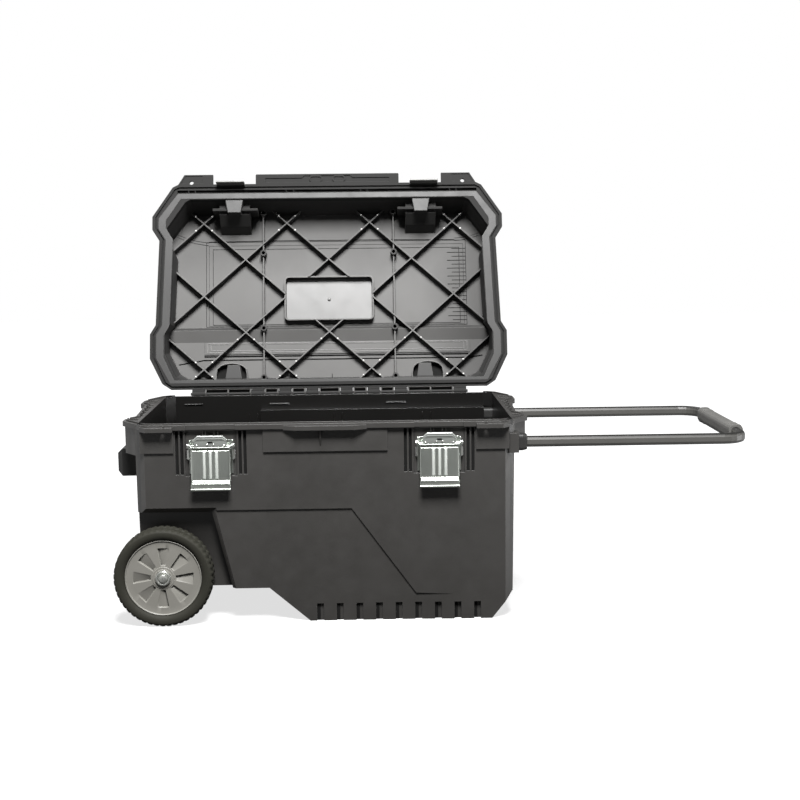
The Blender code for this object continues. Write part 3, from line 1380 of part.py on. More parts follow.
def make_keeper(side, name, material):
    """The steel plate on the lid's front edge, with a rolled bead that the claw hooks."""
    middle = side * LATCH_PLACE
    bottom = LID_BOTTOM - KEEPER_DROP
    span = (middle - KEEPER_HALF_WIDTH, middle + KEEPER_HALF_WIDTH)
    keeper = box(
        name,
        span,
        (keeper_y(), keeper_y() + LATCH_SHEET),
        (bottom + KEEPER_BEAD_DIAMETER / 2, LID_BOTTOM + KEEPER_TOP),
    )
    spot = (keeper_y() + LATCH_SHEET - KEEPER_BEAD_DIAMETER / 2, bottom + KEEPER_BEAD_DIAMETER / 2)
    bead = circle(spot, KEEPER_BEAD_DIAMETER / 2, SMALL_SIDES)
    combine(keeper, "UNION", [prism("bead", bead, "X", span[0] + SEAT_GAP, span[1] - SEAT_GAP)])
    cuts = []
    for across, up in keeper_rivet_spots():
        hole = circle((across, up), RIVET_DIAMETER / 2 + SEAT_GAP, SMALL_SIDES)
        cuts.append(prism("hole", hole, "Y", keeper_y() - OVERRUN, keeper_y() + 2 * LATCH_SHEET))
    combine(keeper, "DIFFERENCE", cuts)
    return hang_on(finished(keeper, material), HINGE, OPEN_TURN)


def make_latch(side, word, steel):
    """One latch: base and rivets on the tub, lever, claw and their pins, keeper and rivets on the lid."""
    middle = side * LATCH_PLACE
    make_latch_base(side, f"{word}_latch_base", steel)
    make_lever(side, f"{word}_latch_lever", steel)
    make_claw(side, f"{word}_latch_claw", steel)
    make_keeper(side, f"{word}_latch_keeper", steel)

    head_seat = BASE_HALF_WIDTH + SEAT_GAP
    head_end = head_seat + PIVOT_HEAD_THICKNESS
    radii = (PIVOT_HEAD_DIAMETER / 2, PIVOT_PIN_DIAMETER / 2)
    stations = [
        (middle - head_end, radii[0] * 2 / 3),
        (middle - head_end + PIVOT_HEAD_THICKNESS / 3, radii[0]),
        (middle - head_seat, radii[0]),
        (middle - head_seat, radii[1]),
        (middle + head_seat, radii[1]),
        (middle + head_seat, radii[0]),
        (middle + head_end - PIVOT_HEAD_THICKNESS / 3, radii[0]),
        (middle + head_end, radii[0] * 2 / 3),
    ]
    finished(turned(f"{word}_lever_pin", "X", (PIVOT_Y, PIVOT_HEIGHT), stations, SMALL_SIDES), steel)

    reach = LEVER_HALF_WIDTH
    stations = [(middle - reach, CLAW_PIN_DIAMETER / 2), (middle + reach, CLAW_PIN_DIAMETER / 2)]
    pin = turned(f"{word}_claw_pin", "X", (CLAW_PIN_Y, CLAW_PIN_Z), stations, SMALL_SIDES)
    hang_on(finished(pin, steel), Vector((middle, PIVOT_Y, PIVOT_HEIGHT)))

    base_front = POCKET_FLOOR - SEAT_GAP - LATCH_SHEET
    for order, height in zip(("lower", "upper"), BASE_RIVET_HEIGHTS):
        stations = rivet_stations(base_front - SEAT_GAP, POCKET_BACKING + SEAT_GAP, RIVET_TAIL)
        finished(
            turned(f"{word}_base_rivet_{order}", "Y", (middle, height), stations, SMALL_SIDES), steel
        )
    for order, end in (("left", -1), ("right", 1)):
        spot = (middle + end * KEEPER_RIVET_PLACE, LID_BOTTOM + KEEPER_RIVET_HEIGHT)
        head = keeper_y() - SEAT_GAP
        stations = rivet_stations(head, keeper_y() + LATCH_SHEET + KEEPER_RIVET_LENGTH, RIVET_TAIL)[:-2]
        rivet = turned(f"{word}_keeper_rivet_{order}", "Y", spot, stations, SMALL_SIDES)
        hang_on(finished(rivet, steel), HINGE, OPEN_TURN)


def make_hub(side, name, material):
    """The moulded hub: eight spokes between pockets on the outside, a hollow on the inside."""
    outer = side * (WHEEL_OUTER_FACE - HUB_SETBACK)
    inner = side * (WHEEL_OUTER_FACE - TYRE_WIDTH + HUB_SETBACK)
    centre = (WHEEL_X, WHEEL_RADIUS)
    radius = HUB_DIAMETER / 2
    hub = prism(name, circle(centre, radius, WHEEL_SIDES), "Y", outer, inner)
    boss = HUB_BOSS_DIAMETER / 2
    dish = radius - HUB_DISH_WIDTH
    slope = [
        (outer + side * OVERRUN, radius - HUB_RIM_WIDTH / 8),
        (outer, radius - HUB_RIM_WIDTH / 8),
        (outer - side * HUB_DISH_DEPTH, dish),
    ]
    ring = turned("dish", "Y", centre, slope, WHEEL_SIDES)
    ends = (outer - side * OVERRUN, outer + side * 2 * OVERRUN)
    cuts = [combine(ring, "DIFFERENCE", [prism("dish_core", circle(centre, dish, WHEEL_SIDES), "Y", *ends)])]
    sector = math.tau / HUB_SPOKES
    for i in range(HUB_SPOKES):
        middle = sector * i + HUB_TURN
        half = sector * HUB_POCKET_SHARE / 2
        outline = [(boss, -half), (dish, -half), (dish, 0), (dish, half), (boss, half), (boss, 0)]
        points = [
            (centre[0] + reach * math.cos(middle + turn), centre[1] + reach * math.sin(middle + turn))
            for reach, turn in outline
        ]
        cuts.append(prism("hub_pocket", points, "Y", outer - side * HUB_POCKET_DEPTH, outer + side * OVERRUN))
    web = outer - side * (HUB_POCKET_DEPTH + HUB_RIM_WIDTH)
    ring = prism("back", circle(centre, radius - HUB_RIM_WIDTH), "Y", web, inner - side * OVERRUN)
    past = inner - side * 2 * OVERRUN
    combine(ring, "DIFFERENCE", [prism("back_core", circle(centre, boss), "Y", web + side * OVERRUN, past)])
    cuts.append(ring)
    bore = circle(centre, AXLE_DIAMETER / 2 + RUNNING_GAP)
    cuts.append(prism("bore", bore, "Y", outer + side * OVERRUN, past))
    combine(hub, "DIFFERENCE", cuts)
    return hang_on(finished(hub, material), Vector((WHEEL_X, side * WHEEL_MIDDLE, WHEEL_RADIUS)))


def make_tyre(side, name, material):
    """The solid rubber tyre, pressed on the hub."""
    outer = side * WHEEL_OUTER_FACE
    inner = side * (WHEEL_OUTER_FACE - TYRE_WIDTH)
    lean = side * TYRE_SHOULDER
    shoulder = WHEEL_RADIUS - TYRE_SHOULDER / 2
    centre = (WHEEL_X, WHEEL_RADIUS)
    stations = [
        (outer, WHEEL_RADIUS - TYRE_SHOULDER),
        (outer - lean / 3, shoulder),
        (outer - lean, WHEEL_RADIUS),
        (inner + lean, WHEEL_RADIUS),
        (inner + lean / 3, shoulder),
        (inner, WHEEL_RADIUS - TYRE_SHOULDER),
    ]
    tyre = turned(name, "Y", centre, stations, WHEEL_SIDES)
    hole = circle(centre, HUB_DIAMETER / 2 + SEAT_GAP, WHEEL_SIDES)
    past = side * OVERRUN
    combine(tyre, "DIFFERENCE", [prism("hole", hole, "Y", outer + past, inner - past)])
    return hang_on(finished(tyre, material), Vector((WHEEL_X, side * WHEEL_MIDDLE, WHEEL_RADIUS)))


def make_wheel(side, word, hub_plastic, rubber, steel):
    """One wheel with its washer and the push-on cap that keeps it on the axle."""
    make_hub(side, f"{word}_wheel_hub", hub_plastic)
    make_tyre(side, f"{word}_tyre", rubber)
    centre = (WHEEL_X, WHEEL_RADIUS)
    face = WHEEL_OUTER_FACE - HUB_SETBACK + SEAT_GAP
    washer = turned(
        f"{word}_washer",
        "Y",
        centre,
        [(side * face, WASHER_DIAMETER / 2), (side * (face + WASHER_THICKNESS), WASHER_DIAMETER / 2)],
    )
    bore = circle(centre, AXLE_DIAMETER / 2 + SEAT_GAP)
    cut = prism("bore", bore, "Y", side * (face - OVERRUN), side * (face + WASHER_THICKNESS + OVERRUN))
    finished(combine(washer, "DIFFERENCE", [cut]), steel)

    seat = face + WASHER_THICKNESS + SEAT_GAP
    end = seat + CAP_LENGTH
    cap = turned(
        f"{word}_axle_cap",
        "Y",
        centre,
        [
            (side * seat, CAP_DIAMETER / 2),
            (side * (end - CAP_LENGTH / 3), CAP_DIAMETER / 2),
            (side * end, CAP_DIAMETER / 3),
        ],
    )
    cut = prism("bore", bore, "Y", side * (seat - OVERRUN), side * (end - CAP_LENGTH / 3))
    finished(combine(cap, "DIFFERENCE", [cut]), steel)


def make_axle(material):
    half = WHEEL_OUTER_FACE - HUB_SETBACK + WASHER_THICKNESS + CAP_LENGTH / 2
    stations = [(-half, AXLE_DIAMETER / 2), (half, AXLE_DIAMETER / 2)]
    axle = turned("axle", "Y", (WHEEL_X, WHEEL_RADIUS), stations)
    return finished(axle, material)


def handle_path():
    """Places along the bent tube and the outward direction across it, from one inner end to the other."""
    path = [(TUBE_INNER_END, -TUBE_PLACE, -math.pi / 2)]
    corner_x = CROSSBAR_X - BEND_RADIUS
    corner_y = TUBE_PLACE - BEND_RADIUS
    quarter = math.pi / 2
    for sign, start in ((-1, -quarter), (1, 0)):
        for i in range(BEND_STEPS + 1):
            angle = start + quarter * i / BEND_STEPS
            x = corner_x + BEND_RADIUS * math.cos(angle)
            path.append((x, sign * corner_y + BEND_RADIUS * math.sin(angle), angle))
    path.append((TUBE_INNER_END, TUBE_PLACE, math.pi / 2))
    return path


def sweep(name, path, section):
    """A section run along the handle's path."""
    rings = []
    for x, y, angle in path:
        out = Vector((math.cos(angle), math.sin(angle), 0))
        here = Vector((x, y, TUBE_HEIGHT))
        rings.append([here + out * across + Vector((0, 0, up)) for across, up in section])
    return loft(name, rings)


def make_handle(aluminium, grip_rubber, plastic):
    """The bent tube with its sleeve and the stop in each inner end."""
    path = handle_path()
    tube = sweep("pull_handle_tube", path, rounded(TUBE_WIDE / 2, TUBE_TALL / 2, TUBE_CORNER, 2))
    wide = TUBE_WIDE / 2 - TUBE_WALL
    tall = TUBE_TALL / 2 - TUBE_WALL
    bore_path = list(path)
    for end in (0, -1):
        x, y, angle = path[end]
        bore_path[end] = (x - OVERRUN, y, angle)
    bore = sweep("bore", bore_path, rounded(wide, tall, TUBE_CORNER - TUBE_WALL, 2))
    combine(tube, "DIFFERENCE", [bore])
    start = Vector((TUBE_INNER_END, 0, TUBE_HEIGHT))
    hang_on(finished(tube, aluminium), start)

    shape = shifted(rounded(SLEEVE_WIDE / 2, SLEEVE_TALL / 2, SLEEVE_CORNER), CROSSBAR_X, TUBE_HEIGHT)
    sleeve = prism("pull_handle_grip", shape, "Y", -SLEEVE_HALF_LENGTH, SLEEVE_HALF_LENGTH)
    hole = rounded(TUBE_WIDE / 2 + SEAT_GAP, TUBE_TALL / 2 + SEAT_GAP, TUBE_CORNER, 2)
    past = SLEEVE_HALF_LENGTH + OVERRUN
    cut = prism("hole", shifted(hole, CROSSBAR_X, TUBE_HEIGHT), "Y", -past, past)
    combine(sleeve, "DIFFERENCE", [cut])
    hang_on(finished(sleeve, grip_rubber), start)

    for side, word in ((-1, "front"), (1, "rear")):
        middle = side * TUBE_PLACE
        head = shifted(
            rounded(TUBE_WIDE / 2 + BUSH_WALL, TUBE_TALL / 2 + BUSH_WALL, TUBE_CORNER, 2),
            middle,
            TUBE_HEIGHT,
        )
        end = TUBE_INNER_END - SEAT_GAP
        stop = prism(f"{word}_tube_stop", head, "X", end - PLUG_LENGTH, end)
        neck = rounded(wide - SEAT_GAP, tall - SEAT_GAP, TUBE_CORNER - TUBE_WALL, 2)
        spigot = prism("spigot", shifted(neck, middle, TUBE_HEIGHT), "X", end - OVERRUN, end + PLUG_LENGTH)
        combine(stop, "UNION", [spigot])
        hang_on(finished(stop, plastic), start)


def make_bush(side, name, material):
    """The bush that guides one tube: a tapered head outside the tub and a long sleeve inside it."""
    sleeve = bush_outline(RUNNING_GAP + BUSH_WALL, side)
    start = TUBE_INNER_END + SEAT_GAP
    bush = prism(name, sleeve, "X", start, BUSH_SEAT_X + OVERRUN)
    wide = bush_outline(RUNNING_GAP + BUSH_HEAD_WALL, side)
    slim = bush_outline(RUNNING_GAP + BUSH_HEAD_WALL * 2 / 3, side)
    seat = BUSH_SEAT_X + SEAT_GAP
    rings = [
        [Vector((seat, a, b)) for a, b in wide],
        [Vector((seat + BUSH_HEAD_LENGTH / 2, a, b)) for a, b in wide],
        [Vector((seat + BUSH_HEAD_LENGTH, a, b)) for a, b in slim],
    ]
    combine(bush, "UNION", [loft("head", rings)])
    bore = bush_outline(RUNNING_GAP, side)
    end = seat + BUSH_HEAD_LENGTH + OVERRUN
    combine(bush, "DIFFERENCE", [prism("bore", bore, "X", start - OVERRUN, end)])
    return finished(bush, material)


def make_channel(side, name, material):
    """The channel on the inside of a long wall that covers the tube when the handle is in."""
    margin = RUNNING_GAP + BUSH_WALL + 2 * SEAT_GAP
    half = TUBE_TALL / 2 + margin
    outer = half + CHANNEL_WALL
    wall = POCKET_BACKING + SEAT_GAP if side < 0 else TUB_HALF_DEPTH - TUB_WALL - SEAT_GAP
    near = side * (TUBE_PLACE - TUBE_WIDE / 2 - margin)
    far = near - side * CHANNEL_WALL
    outline = [
        (wall, -outer),
        (wall, -half),
        (near, -half),
        (near, half),
        (wall, half),
        (wall, outer),
        (far, outer),
        (far, -outer),
    ]
    end = TUB_HALF_LENGTH - TUB_WALL - TUB_CORNER
    channel = prism(name, shifted(outline, 0, TUBE_HEIGHT), "X", CHANNEL_LEFT_END, end)
    return finished(channel, material)


def grip_foot_x():
    """Where the carry grip's feet sit on the drafted end wall."""
    return -TUB_HALF_LENGTH + TUB_DRAFT / RIM_HEIGHT * (RIM_HEIGHT - GRIP_TOP) - SEAT_GAP


def grip_screw_spots():
    return [(side * (GRIP_HALF_SPAN - GRIP_ARM_WIDTH / 2), GRIP_SCREW_HEIGHT) for side in (-1, 1)]


def grip_screw_holes():
    """Holes for the carry grip's screws, through the end wall and into the grip."""
    holes = []
    end = grip_foot_x() - GRIP_SCREW_LENGTH
    for spot in grip_screw_spots():
        outline = circle(spot, GRIP_SCREW_DIAMETER / 2 + SEAT_GAP, SMALL_SIDES)
        holes.append(prism("screw_hole", outline, "X", end, -TUB_HALF_LENGTH + TUB_WALL * 3))
    return holes


def make_carry_grip(material, steel):
    """The hand grip on the wheel end, held by two screws from inside the tub."""
    foot = grip_foot_x()
    reach = foot - GRIP_REACH
    inner = reach + GRIP_BAR_THICKNESS
    half = GRIP_HALF_SPAN
    arm = half - GRIP_ARM_WIDTH
    outline = [
        (foot, -half),
        (foot, -arm),
        (inner, -arm + GRIP_CHAMFER),
        (inner, arm - GRIP_CHAMFER),
        (foot, arm),
        (foot, half),
        (reach + GRIP_CHAMFER, half),
        (reach, half - GRIP_CHAMFER),
        (reach, -half + GRIP_CHAMFER),
        (reach + GRIP_CHAMFER, -half),
    ]
    grip = prism("carry_grip", outline, "Z", GRIP_BOTTOM, GRIP_TOP)
    side_view = [
        (reach - OVERRUN, GRIP_BOTTOM + GRIP_CHAMFER),
        (reach, GRIP_BOTTOM + GRIP_CHAMFER),
        (reach + GRIP_CHAMFER, GRIP_BOTTOM),
        (foot + OVERRUN, GRIP_BOTTOM),
        (foot + OVERRUN, GRIP_TOP),
        (reach + GRIP_CHAMFER, GRIP_TOP),
        (reach, GRIP_TOP - GRIP_CHAMFER),
        (reach - OVERRUN, GRIP_TOP - GRIP_CHAMFER),
    ][1:-1]
    overlap_of(grip, prism("side_view", side_view, "Y", -half * 2, half * 2))
    combine(grip, "DIFFERENCE", grip_screw_holes())
    finished(grip, material)

    slope = TUB_DRAFT / RIM_HEIGHT
    wall = -TUB_HALF_LENGTH + slope * (RIM_HEIGHT - GRIP_SCREW_HEIGHT) + TUB_WALL
    head = wall + 2 * SEAT_GAP
    for word, spot in zip(("front", "rear"), grip_screw_spots()):
        stations = [
            (head + GRIP_SCREW_HEAD_THICKNESS, GRIP_SCREW_HEAD_DIAMETER / 3),
            (head + GRIP_SCREW_HEAD_THICKNESS / 2, GRIP_SCREW_HEAD_DIAMETER / 2),
            (head, GRIP_SCREW_HEAD_DIAMETER / 2),
            (head, GRIP_SCREW_DIAMETER / 2),
            (head - GRIP_SCREW_LENGTH, GRIP_SCREW_DIAMETER / 2),
        ]
        finished(turned(f"grip_screw_{word}", "X", spot, stations, SMALL_SIDES), steel)


def make_hinge_rod(material):
    stations = [(-ROD_HALF_LENGTH, ROD_DIAMETER / 2), (ROD_HALF_LENGTH, ROD_DIAMETER / 2)]
    return finished(turned("hinge_rod", "X", (HINGE_Y, HINGE_Z), stations, SMALL_SIDES), material)


def make_chest():
    body_plastic = make_material("charcoal_plastic", (0.072, 0.068, 0.064), 0.55, 0)
    trim_plastic = make_material("black_plastic", (0.030, 0.030, 0.029), 0.5, 0)
    hub_plastic = make_material("grey_plastic", (0.235, 0.230, 0.205), 0.5, 0)
    rubber = make_material("rubber", (0.020, 0.019, 0.018), 0.8, 0)
    grip_rubber = make_material("grip_rubber", (0.045, 0.045, 0.043), 0.75, 0)
    zinc = make_material("zinc_steel", (0.56, 0.57, 0.54), 0.3, 1)
    dark_tube = make_material("coated_tube", (0.055, 0.052, 0.050), 0.4, 0.6)

    make_tub(body_plastic)
    make_lid(body_plastic)
    make_hinge_rod(zinc)
    make_carry_grip(trim_plastic, zinc)
    for side, word in ((-1, "left"), (1, "right")):
        make_latch(side, word, zinc)
    make_axle(zinc)
    for side, word in ((-1, "front"), (1, "rear")):
        make_wheel(side, word, hub_plastic, rubber, zinc)
        make_bush(side, f"{word}_handle_bush", trim_plastic)
        make_channel(side, f"{word}_tube_channel", trim_plastic)
    make_handle(dark_tube, grip_rubber, trim_plastic)


clear_scene()
make_chest()
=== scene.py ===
"""Looks of the mobile tool chest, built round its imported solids."""

import math

import bmesh
import bpy
from mathutils import Matrix, Vector


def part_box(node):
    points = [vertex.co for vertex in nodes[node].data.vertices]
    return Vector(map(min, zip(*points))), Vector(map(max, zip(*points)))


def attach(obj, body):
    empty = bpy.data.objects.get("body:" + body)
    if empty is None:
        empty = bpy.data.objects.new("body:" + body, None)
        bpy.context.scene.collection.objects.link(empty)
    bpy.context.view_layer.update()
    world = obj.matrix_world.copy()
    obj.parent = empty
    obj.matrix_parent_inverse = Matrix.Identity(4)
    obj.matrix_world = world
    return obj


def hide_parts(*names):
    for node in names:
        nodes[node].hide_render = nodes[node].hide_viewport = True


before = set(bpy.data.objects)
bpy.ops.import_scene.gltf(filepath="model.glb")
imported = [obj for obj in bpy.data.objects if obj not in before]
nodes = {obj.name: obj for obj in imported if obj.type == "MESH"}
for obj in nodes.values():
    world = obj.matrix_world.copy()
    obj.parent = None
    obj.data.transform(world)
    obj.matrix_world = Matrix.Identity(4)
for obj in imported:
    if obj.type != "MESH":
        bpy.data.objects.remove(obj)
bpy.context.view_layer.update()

# Camera and studio. The chest is seen almost straight at its front, a little above the rim, through a
# medium long lens. A wide softbox above the camera draws the ribs' shadows in the lid, low softboxes
# pick out the round edges of the steel and of the ends, and one behind the lid lights its back.
scene = bpy.context.scene
camera_data = bpy.data.cameras.new("camera")
camera_data.sensor_width = 36.0
camera_data.lens = 65.6
camera = bpy.data.objects.new("camera", camera_data)
camera.matrix_world = (
    Matrix.Translation((0.0651, -2.8234, 0.7291))
    @ Matrix.Rotation(math.radians(-1.557), 4, "Z")
    @ Matrix.Rotation(math.radians(90 - 7.069), 4, "X")
    @ Matrix.Rotation(math.radians(-0.602), 4, "Z")
)
scene.collection.objects.link(camera)
scene.camera = camera
scene.view_settings.view_transform = "Standard"


def link(tree, source, target):
    """Joins two sockets, each given as (node, socket name or number)."""
    tree.links.new(source[0].outputs[source[1]], target[0].inputs[target[1]])


def node_of(tree, kind, **values):
    """A new shader node with some of its properties or input values set."""
    node = tree.nodes.new("ShaderNode" + kind)
    for key, value in values.items():
        if hasattr(node, key):
            setattr(node, key, value)
        else:
            node.inputs[key.replace("_", " ")].default_value = value
    return node


def tree_of(name):
    """A new material, its node tree and its shader."""
    material = bpy.data.materials.new(name)
    material.use_nodes = True
    tree = material.node_tree
    return material, tree, tree.nodes["Principled BSDF"]


# A white paper sweep. The camera sees it white, with the chest's soft shadow on it. Other rays see it
# dim, so that undersides stay dark, but the steel mirrors it as white far out to the sides.
reach = 8.0
floor_mesh = bpy.data.meshes.new("studio_floor")
corners = [(-reach, -reach, 0), (reach, -reach, 0), (reach, reach, 0), (-reach, reach, 0)]
floor_mesh.from_pydata(corners, [], [(0, 1, 2, 3)])
floor = bpy.data.objects.new("studio_floor", floor_mesh)
scene.collection.objects.link(floor)
paper, tree, shader = tree_of("paper_sweep")
shader.inputs["Base Color"].default_value = (0.26, 0.26, 0.26, 1)
shader.inputs["Roughness"].default_value = 0.9
shader.inputs["Specular IOR Level"].default_value = 0.0
shader.inputs["Emission Color"].default_value = (1, 1, 1, 1)
place = node_of(tree, "NewGeometry")
away = node_of(tree, "VectorMath", operation="LENGTH")
link(tree, (place, "Position"), (away, 0))
glow = node_of(tree, "MapRange", From_Min=0.5, From_Max=1.6, To_Min=0.72, To_Max=1.0)
link(tree, (away, "Value"), (glow, "Value"))
link(tree, (glow, "Result"), (shader, "Emission Strength"))
across = node_of(tree, "SeparateXYZ")
link(tree, (place, "Position"), (across, 0))
aside = node_of(tree, "Math", operation="ABSOLUTE")
link(tree, (across, "X"), (aside, 0))
mirrored = node_of(tree, "MapRange", From_Min=0.25, From_Max=0.95, To_Min=0.10, To_Max=1.0)
link(tree, (aside, 0), (mirrored, "Value"))
path = node_of(tree, "LightPath")
dim = node_of(tree, "Emission", Strength=0.10)
gleam = node_of(tree, "Emission")
link(tree, (mirrored, "Result"), (gleam, "Strength"))
unseen = node_of(tree, "MixShader")
link(tree, (path, "Is Glossy Ray"), (unseen, 0))
link(tree, (dim, 0), (unseen, 1))
link(tree, (gleam, 0), (unseen, 2))
seen = node_of(tree, "MixShader")
link(tree, (path, "Is Camera Ray"), (seen, 0))
link(tree, (unseen, 0), (seen, 1))
link(tree, (shader, 0), (seen, 2))
link(tree, (seen, 0), (tree.nodes["Material Output"], 0))
floor_mesh.materials.append(paper)

world = bpy.data.worlds.new("studio")
scene.world = world
world.use_nodes = True
sky = world.node_tree
sky.nodes.clear()
path = node_of(sky, "LightPath")
level = node_of(sky, "MapRange", To_Min=0.12, To_Max=0.16)
link(sky, (path, "Is Glossy Ray"), (level, "Value"))
white = node_of(sky, "Math", operation="MAXIMUM")
link(sky, (path, "Is Camera Ray"), (white, 0))
link(sky, (level, "Result"), (white, 1))
backdrop = node_of(sky, "Background")
backdrop.inputs["Color"].default_value = (1, 1, 1, 1)
link(sky, (white, 0), (backdrop, "Strength"))
link(sky, (backdrop, 0), (node_of(sky, "OutputWorld"), 0))


def softbox(name, place, aim, size, power):
    """A rectangular soft light that faces the point it is aimed at."""
    data = bpy.data.lights.new(name, "AREA")
    data.shape = "RECTANGLE"
    data.size, data.size_y = size
    data.energy = power
    light = bpy.data.objects.new(name, data)
    light.location = place
    light.rotation_euler = (Vector(place) - Vector(aim)).to_track_quat("Z", "Y").to_euler()
    scene.collection.objects.link(light)


softbox("key_softbox", (0.12, -1.75, 2.75), (0, 0.3, 0.6), (0.9, 1.0), 322)
softbox("right_softbox", (3.0, -0.2, 0.38), (0.3, -0.2, 0.25), (0.9, 0.7), 30)
softbox("left_softbox", (-2.9, -0.5, 0.38), (-0.3, -0.2, 0.25), (0.8, 0.7), 5)
softbox("rear_softbox", (-0.5, 2.6, 2.4), (0, 0, 0.4), (2.0, 1.2), 26)

# Tub. One injection moulding in charcoal polypropylene with a fine sparked grain. Its edges are
# painted a little lighter, as wear and as highlight, and its inside is painted darker as shade. Its
# walls, foot, wheel wells and rim are all one piece with it.


def grain_group():
    """Colour drift, roughness drift and a fine sparked height for moulded plastic."""
    tree = bpy.data.node_groups.new("moulded_grain", "ShaderNodeTree")
    for name in ("Drift", "Patch", "Height"):
        tree.interface.new_socket(name, in_out="OUTPUT", socket_type="NodeSocketFloat")
    place = node_of(tree, "TexCoord")
    drift = node_of(tree, "TexNoise", Scale=9.0, Detail=3.0, Roughness=0.55)
    patch = node_of(tree, "TexNoise", Scale=34.0, Detail=4.0, Roughness=0.6)
    spark = node_of(tree, "TexNoise", Scale=1300.0, Detail=2.0, Roughness=0.5)
    out = tree.nodes.new("NodeGroupOutput")
    for texture, name in ((drift, "Drift"), (patch, "Patch"), (spark, "Height")):
        link(tree, (place, "Object"), (texture, "Vector"))
        link(tree, (texture, "Fac"), (out, name))
    return tree


def edge_group():
    """A mask of the convex edges, painted lighter as wear and highlight, and the normal softening them."""
    tree = bpy.data.node_groups.new("worn_and_lit_edge", "ShaderNodeTree")
    tree.interface.new_socket("Radius", in_out="INPUT", socket_type="NodeSocketFloat")
    tree.interface.new_socket("Edge", in_out="OUTPUT", socket_type="NodeSocketFloat")
    tree.interface.new_socket("Normal", in_out="OUTPUT", socket_type="NodeSocketVector")
    radius = tree.nodes.new("NodeGroupInput")
    soft = node_of(tree, "Bevel", samples=4)
    link(tree, (radius, "Radius"), (soft, "Radius"))
    flat = node_of(tree, "NewGeometry")
    likeness = node_of(tree, "VectorMath", operation="DOT_PRODUCT")
    link(tree, (soft, "Normal"), (likeness, 0))
    link(tree, (flat, "Normal"), (likeness, 1))
    mask = node_of(tree, "MapRange", From_Min=0.995, From_Max=0.80)
    link(tree, (likeness, "Value"), (mask, "Value"))
    out = tree.nodes.new("NodeGroupOutput")
    link(tree, (mask, "Result"), (out, "Edge"))
    link(tree, (soft, "Normal"), (out, "Normal"))
    return tree


def cavity_group():
    """A mask of open surface, which falls off in narrow slots and grooves, where shade is painted."""
    tree = bpy.data.node_groups.new("open_surface", "ShaderNodeTree")
    tree.interface.new_socket("Open", in_out="OUTPUT", socket_type="NodeSocketFloat")
    shade = node_of(tree, "AmbientOcclusion", samples=8, only_local=True, Distance=0.008)
    mask = node_of(tree, "MapRange", From_Min=0.32, From_Max=0.66)
    link(tree, (shade, "AO"), (mask, "Value"))
    out = tree.nodes.new("NodeGroupOutput")
    link(tree, (mask, "Result"), (out, "Open"))
    return tree


GRAIN = grain_group()
EDGE = edge_group()
CAVITY = cavity_group()


def moulded(
    name,
    dark,
    light,
    edge,
    rough,
    bump=0.12,
    radius=0.0009,
    gloss=0.5,
    zone=None,
    zone_tone=0.6,
    zone_rough=0.8,
):
    """Moulded plastic or rubber: two drifting tones, edges painted lighter as wear and highlight, shade
    painted into narrow slots and grooves, uneven sheen and a fine grain.

    A zone is a function that gives a mask. There the tone is multiplied by zone_tone and the roughness
    becomes zone_rough. The same shader paints the zinc of the keepers, claws and flute crests in flat
    greys that stand in for their reflections.
    """
    material, tree, shader = tree_of(name)
    shader.inputs["Specular IOR Level"].default_value = gloss
    grain = node_of(tree, "Group", node_tree=GRAIN)
    edges = node_of(tree, "Group", node_tree=EDGE)
    edges.inputs["Radius"].default_value = radius
    tone = node_of(tree, "MixRGB", Color1=(*dark, 1), Color2=(*light, 1))
    link(tree, (grain, "Drift"), (tone, "Fac"))
    # Convex edges are painted lighter, as wear and as highlight.
    worn_and_lit = node_of(tree, "MixRGB", Color2=(*edge, 1))
    link(tree, (edges, "Edge"), (worn_and_lit, "Fac"))
    link(tree, (tone, 0), (worn_and_lit, "Color1"))
    # Narrow slots and grooves are painted darker, as shade.
    open_surface = node_of(tree, "Group", node_tree=CAVITY)
    cavity_shade = tuple(part * 0.18 for part in dark)
    colour = node_of(tree, "MixRGB", Color1=(*cavity_shade, 1))
    link(tree, (open_surface, "Open"), (colour, "Fac"))
    link(tree, (worn_and_lit, 0), (colour, "Color2"))
    sheen = node_of(tree, "MapRange", From_Min=0.3, From_Max=0.7, To_Min=rough[0], To_Max=rough[1])
    link(tree, (grain, "Patch"), (sheen, "Value"))
    roughness = node_of(tree, "MixRGB", Color1=(0.92, 0.92, 0.92, 1))
    link(tree, (open_surface, "Open"), (roughness, "Fac"))
    link(tree, (sheen, "Result"), (roughness, "Color2"))
    # A zone's darker tone is painted shade; on the lid it is also the plastic's own dark tone.
    if zone:
        mask = zone(tree)
        zone_darker = node_of(tree, "MixRGB", blend_type="MULTIPLY", Color2=(zone_tone, zone_tone, zone_tone, 1))
        link(tree, mask, (zone_darker, "Fac"))
        link(tree, (colour, 0), (zone_darker, "Color1"))
        colour = zone_darker
        rougher = node_of(tree, "MixRGB", Color2=(zone_rough, zone_rough, zone_rough, 1))
        link(tree, mask, (rougher, "Fac"))
        link(tree, (roughness, 0), (rougher, "Color1"))
        roughness = rougher
    link(tree, (colour, 0), (shader, "Base Color"))
    link(tree, (roughness, 0), (shader, "Roughness"))
    height = node_of(tree, "Bump", Strength=bump, Distance=0.0006)
    link(tree, (grain, "Height"), (height, "Height"))
    link(tree, (edges, "Normal"), (height, "Normal"))
    link(tree, (height, "Normal"), (shader, "Normal"))
    return material


def dress(names, material):
    """Gives CAD nodes their material."""
    for name in names:
        nodes[name].data.materials.clear()
        nodes[name].data.materials.append(material)


def loft_into(mesh, rings):
    """A closed solid through rings of points, all with the same count."""
    rows = [[mesh.verts.new(point) for point in ring] for ring in rings]
    count = len(rows[0])
    for low, high in zip(rows, rows[1:]):
        for i in range(count):
            j = (i + 1) % count
            mesh.faces.new((low[i], low[j], high[j], high[i]))
    mesh.faces.new(rows[0])
    mesh.faces.new(rows[-1])


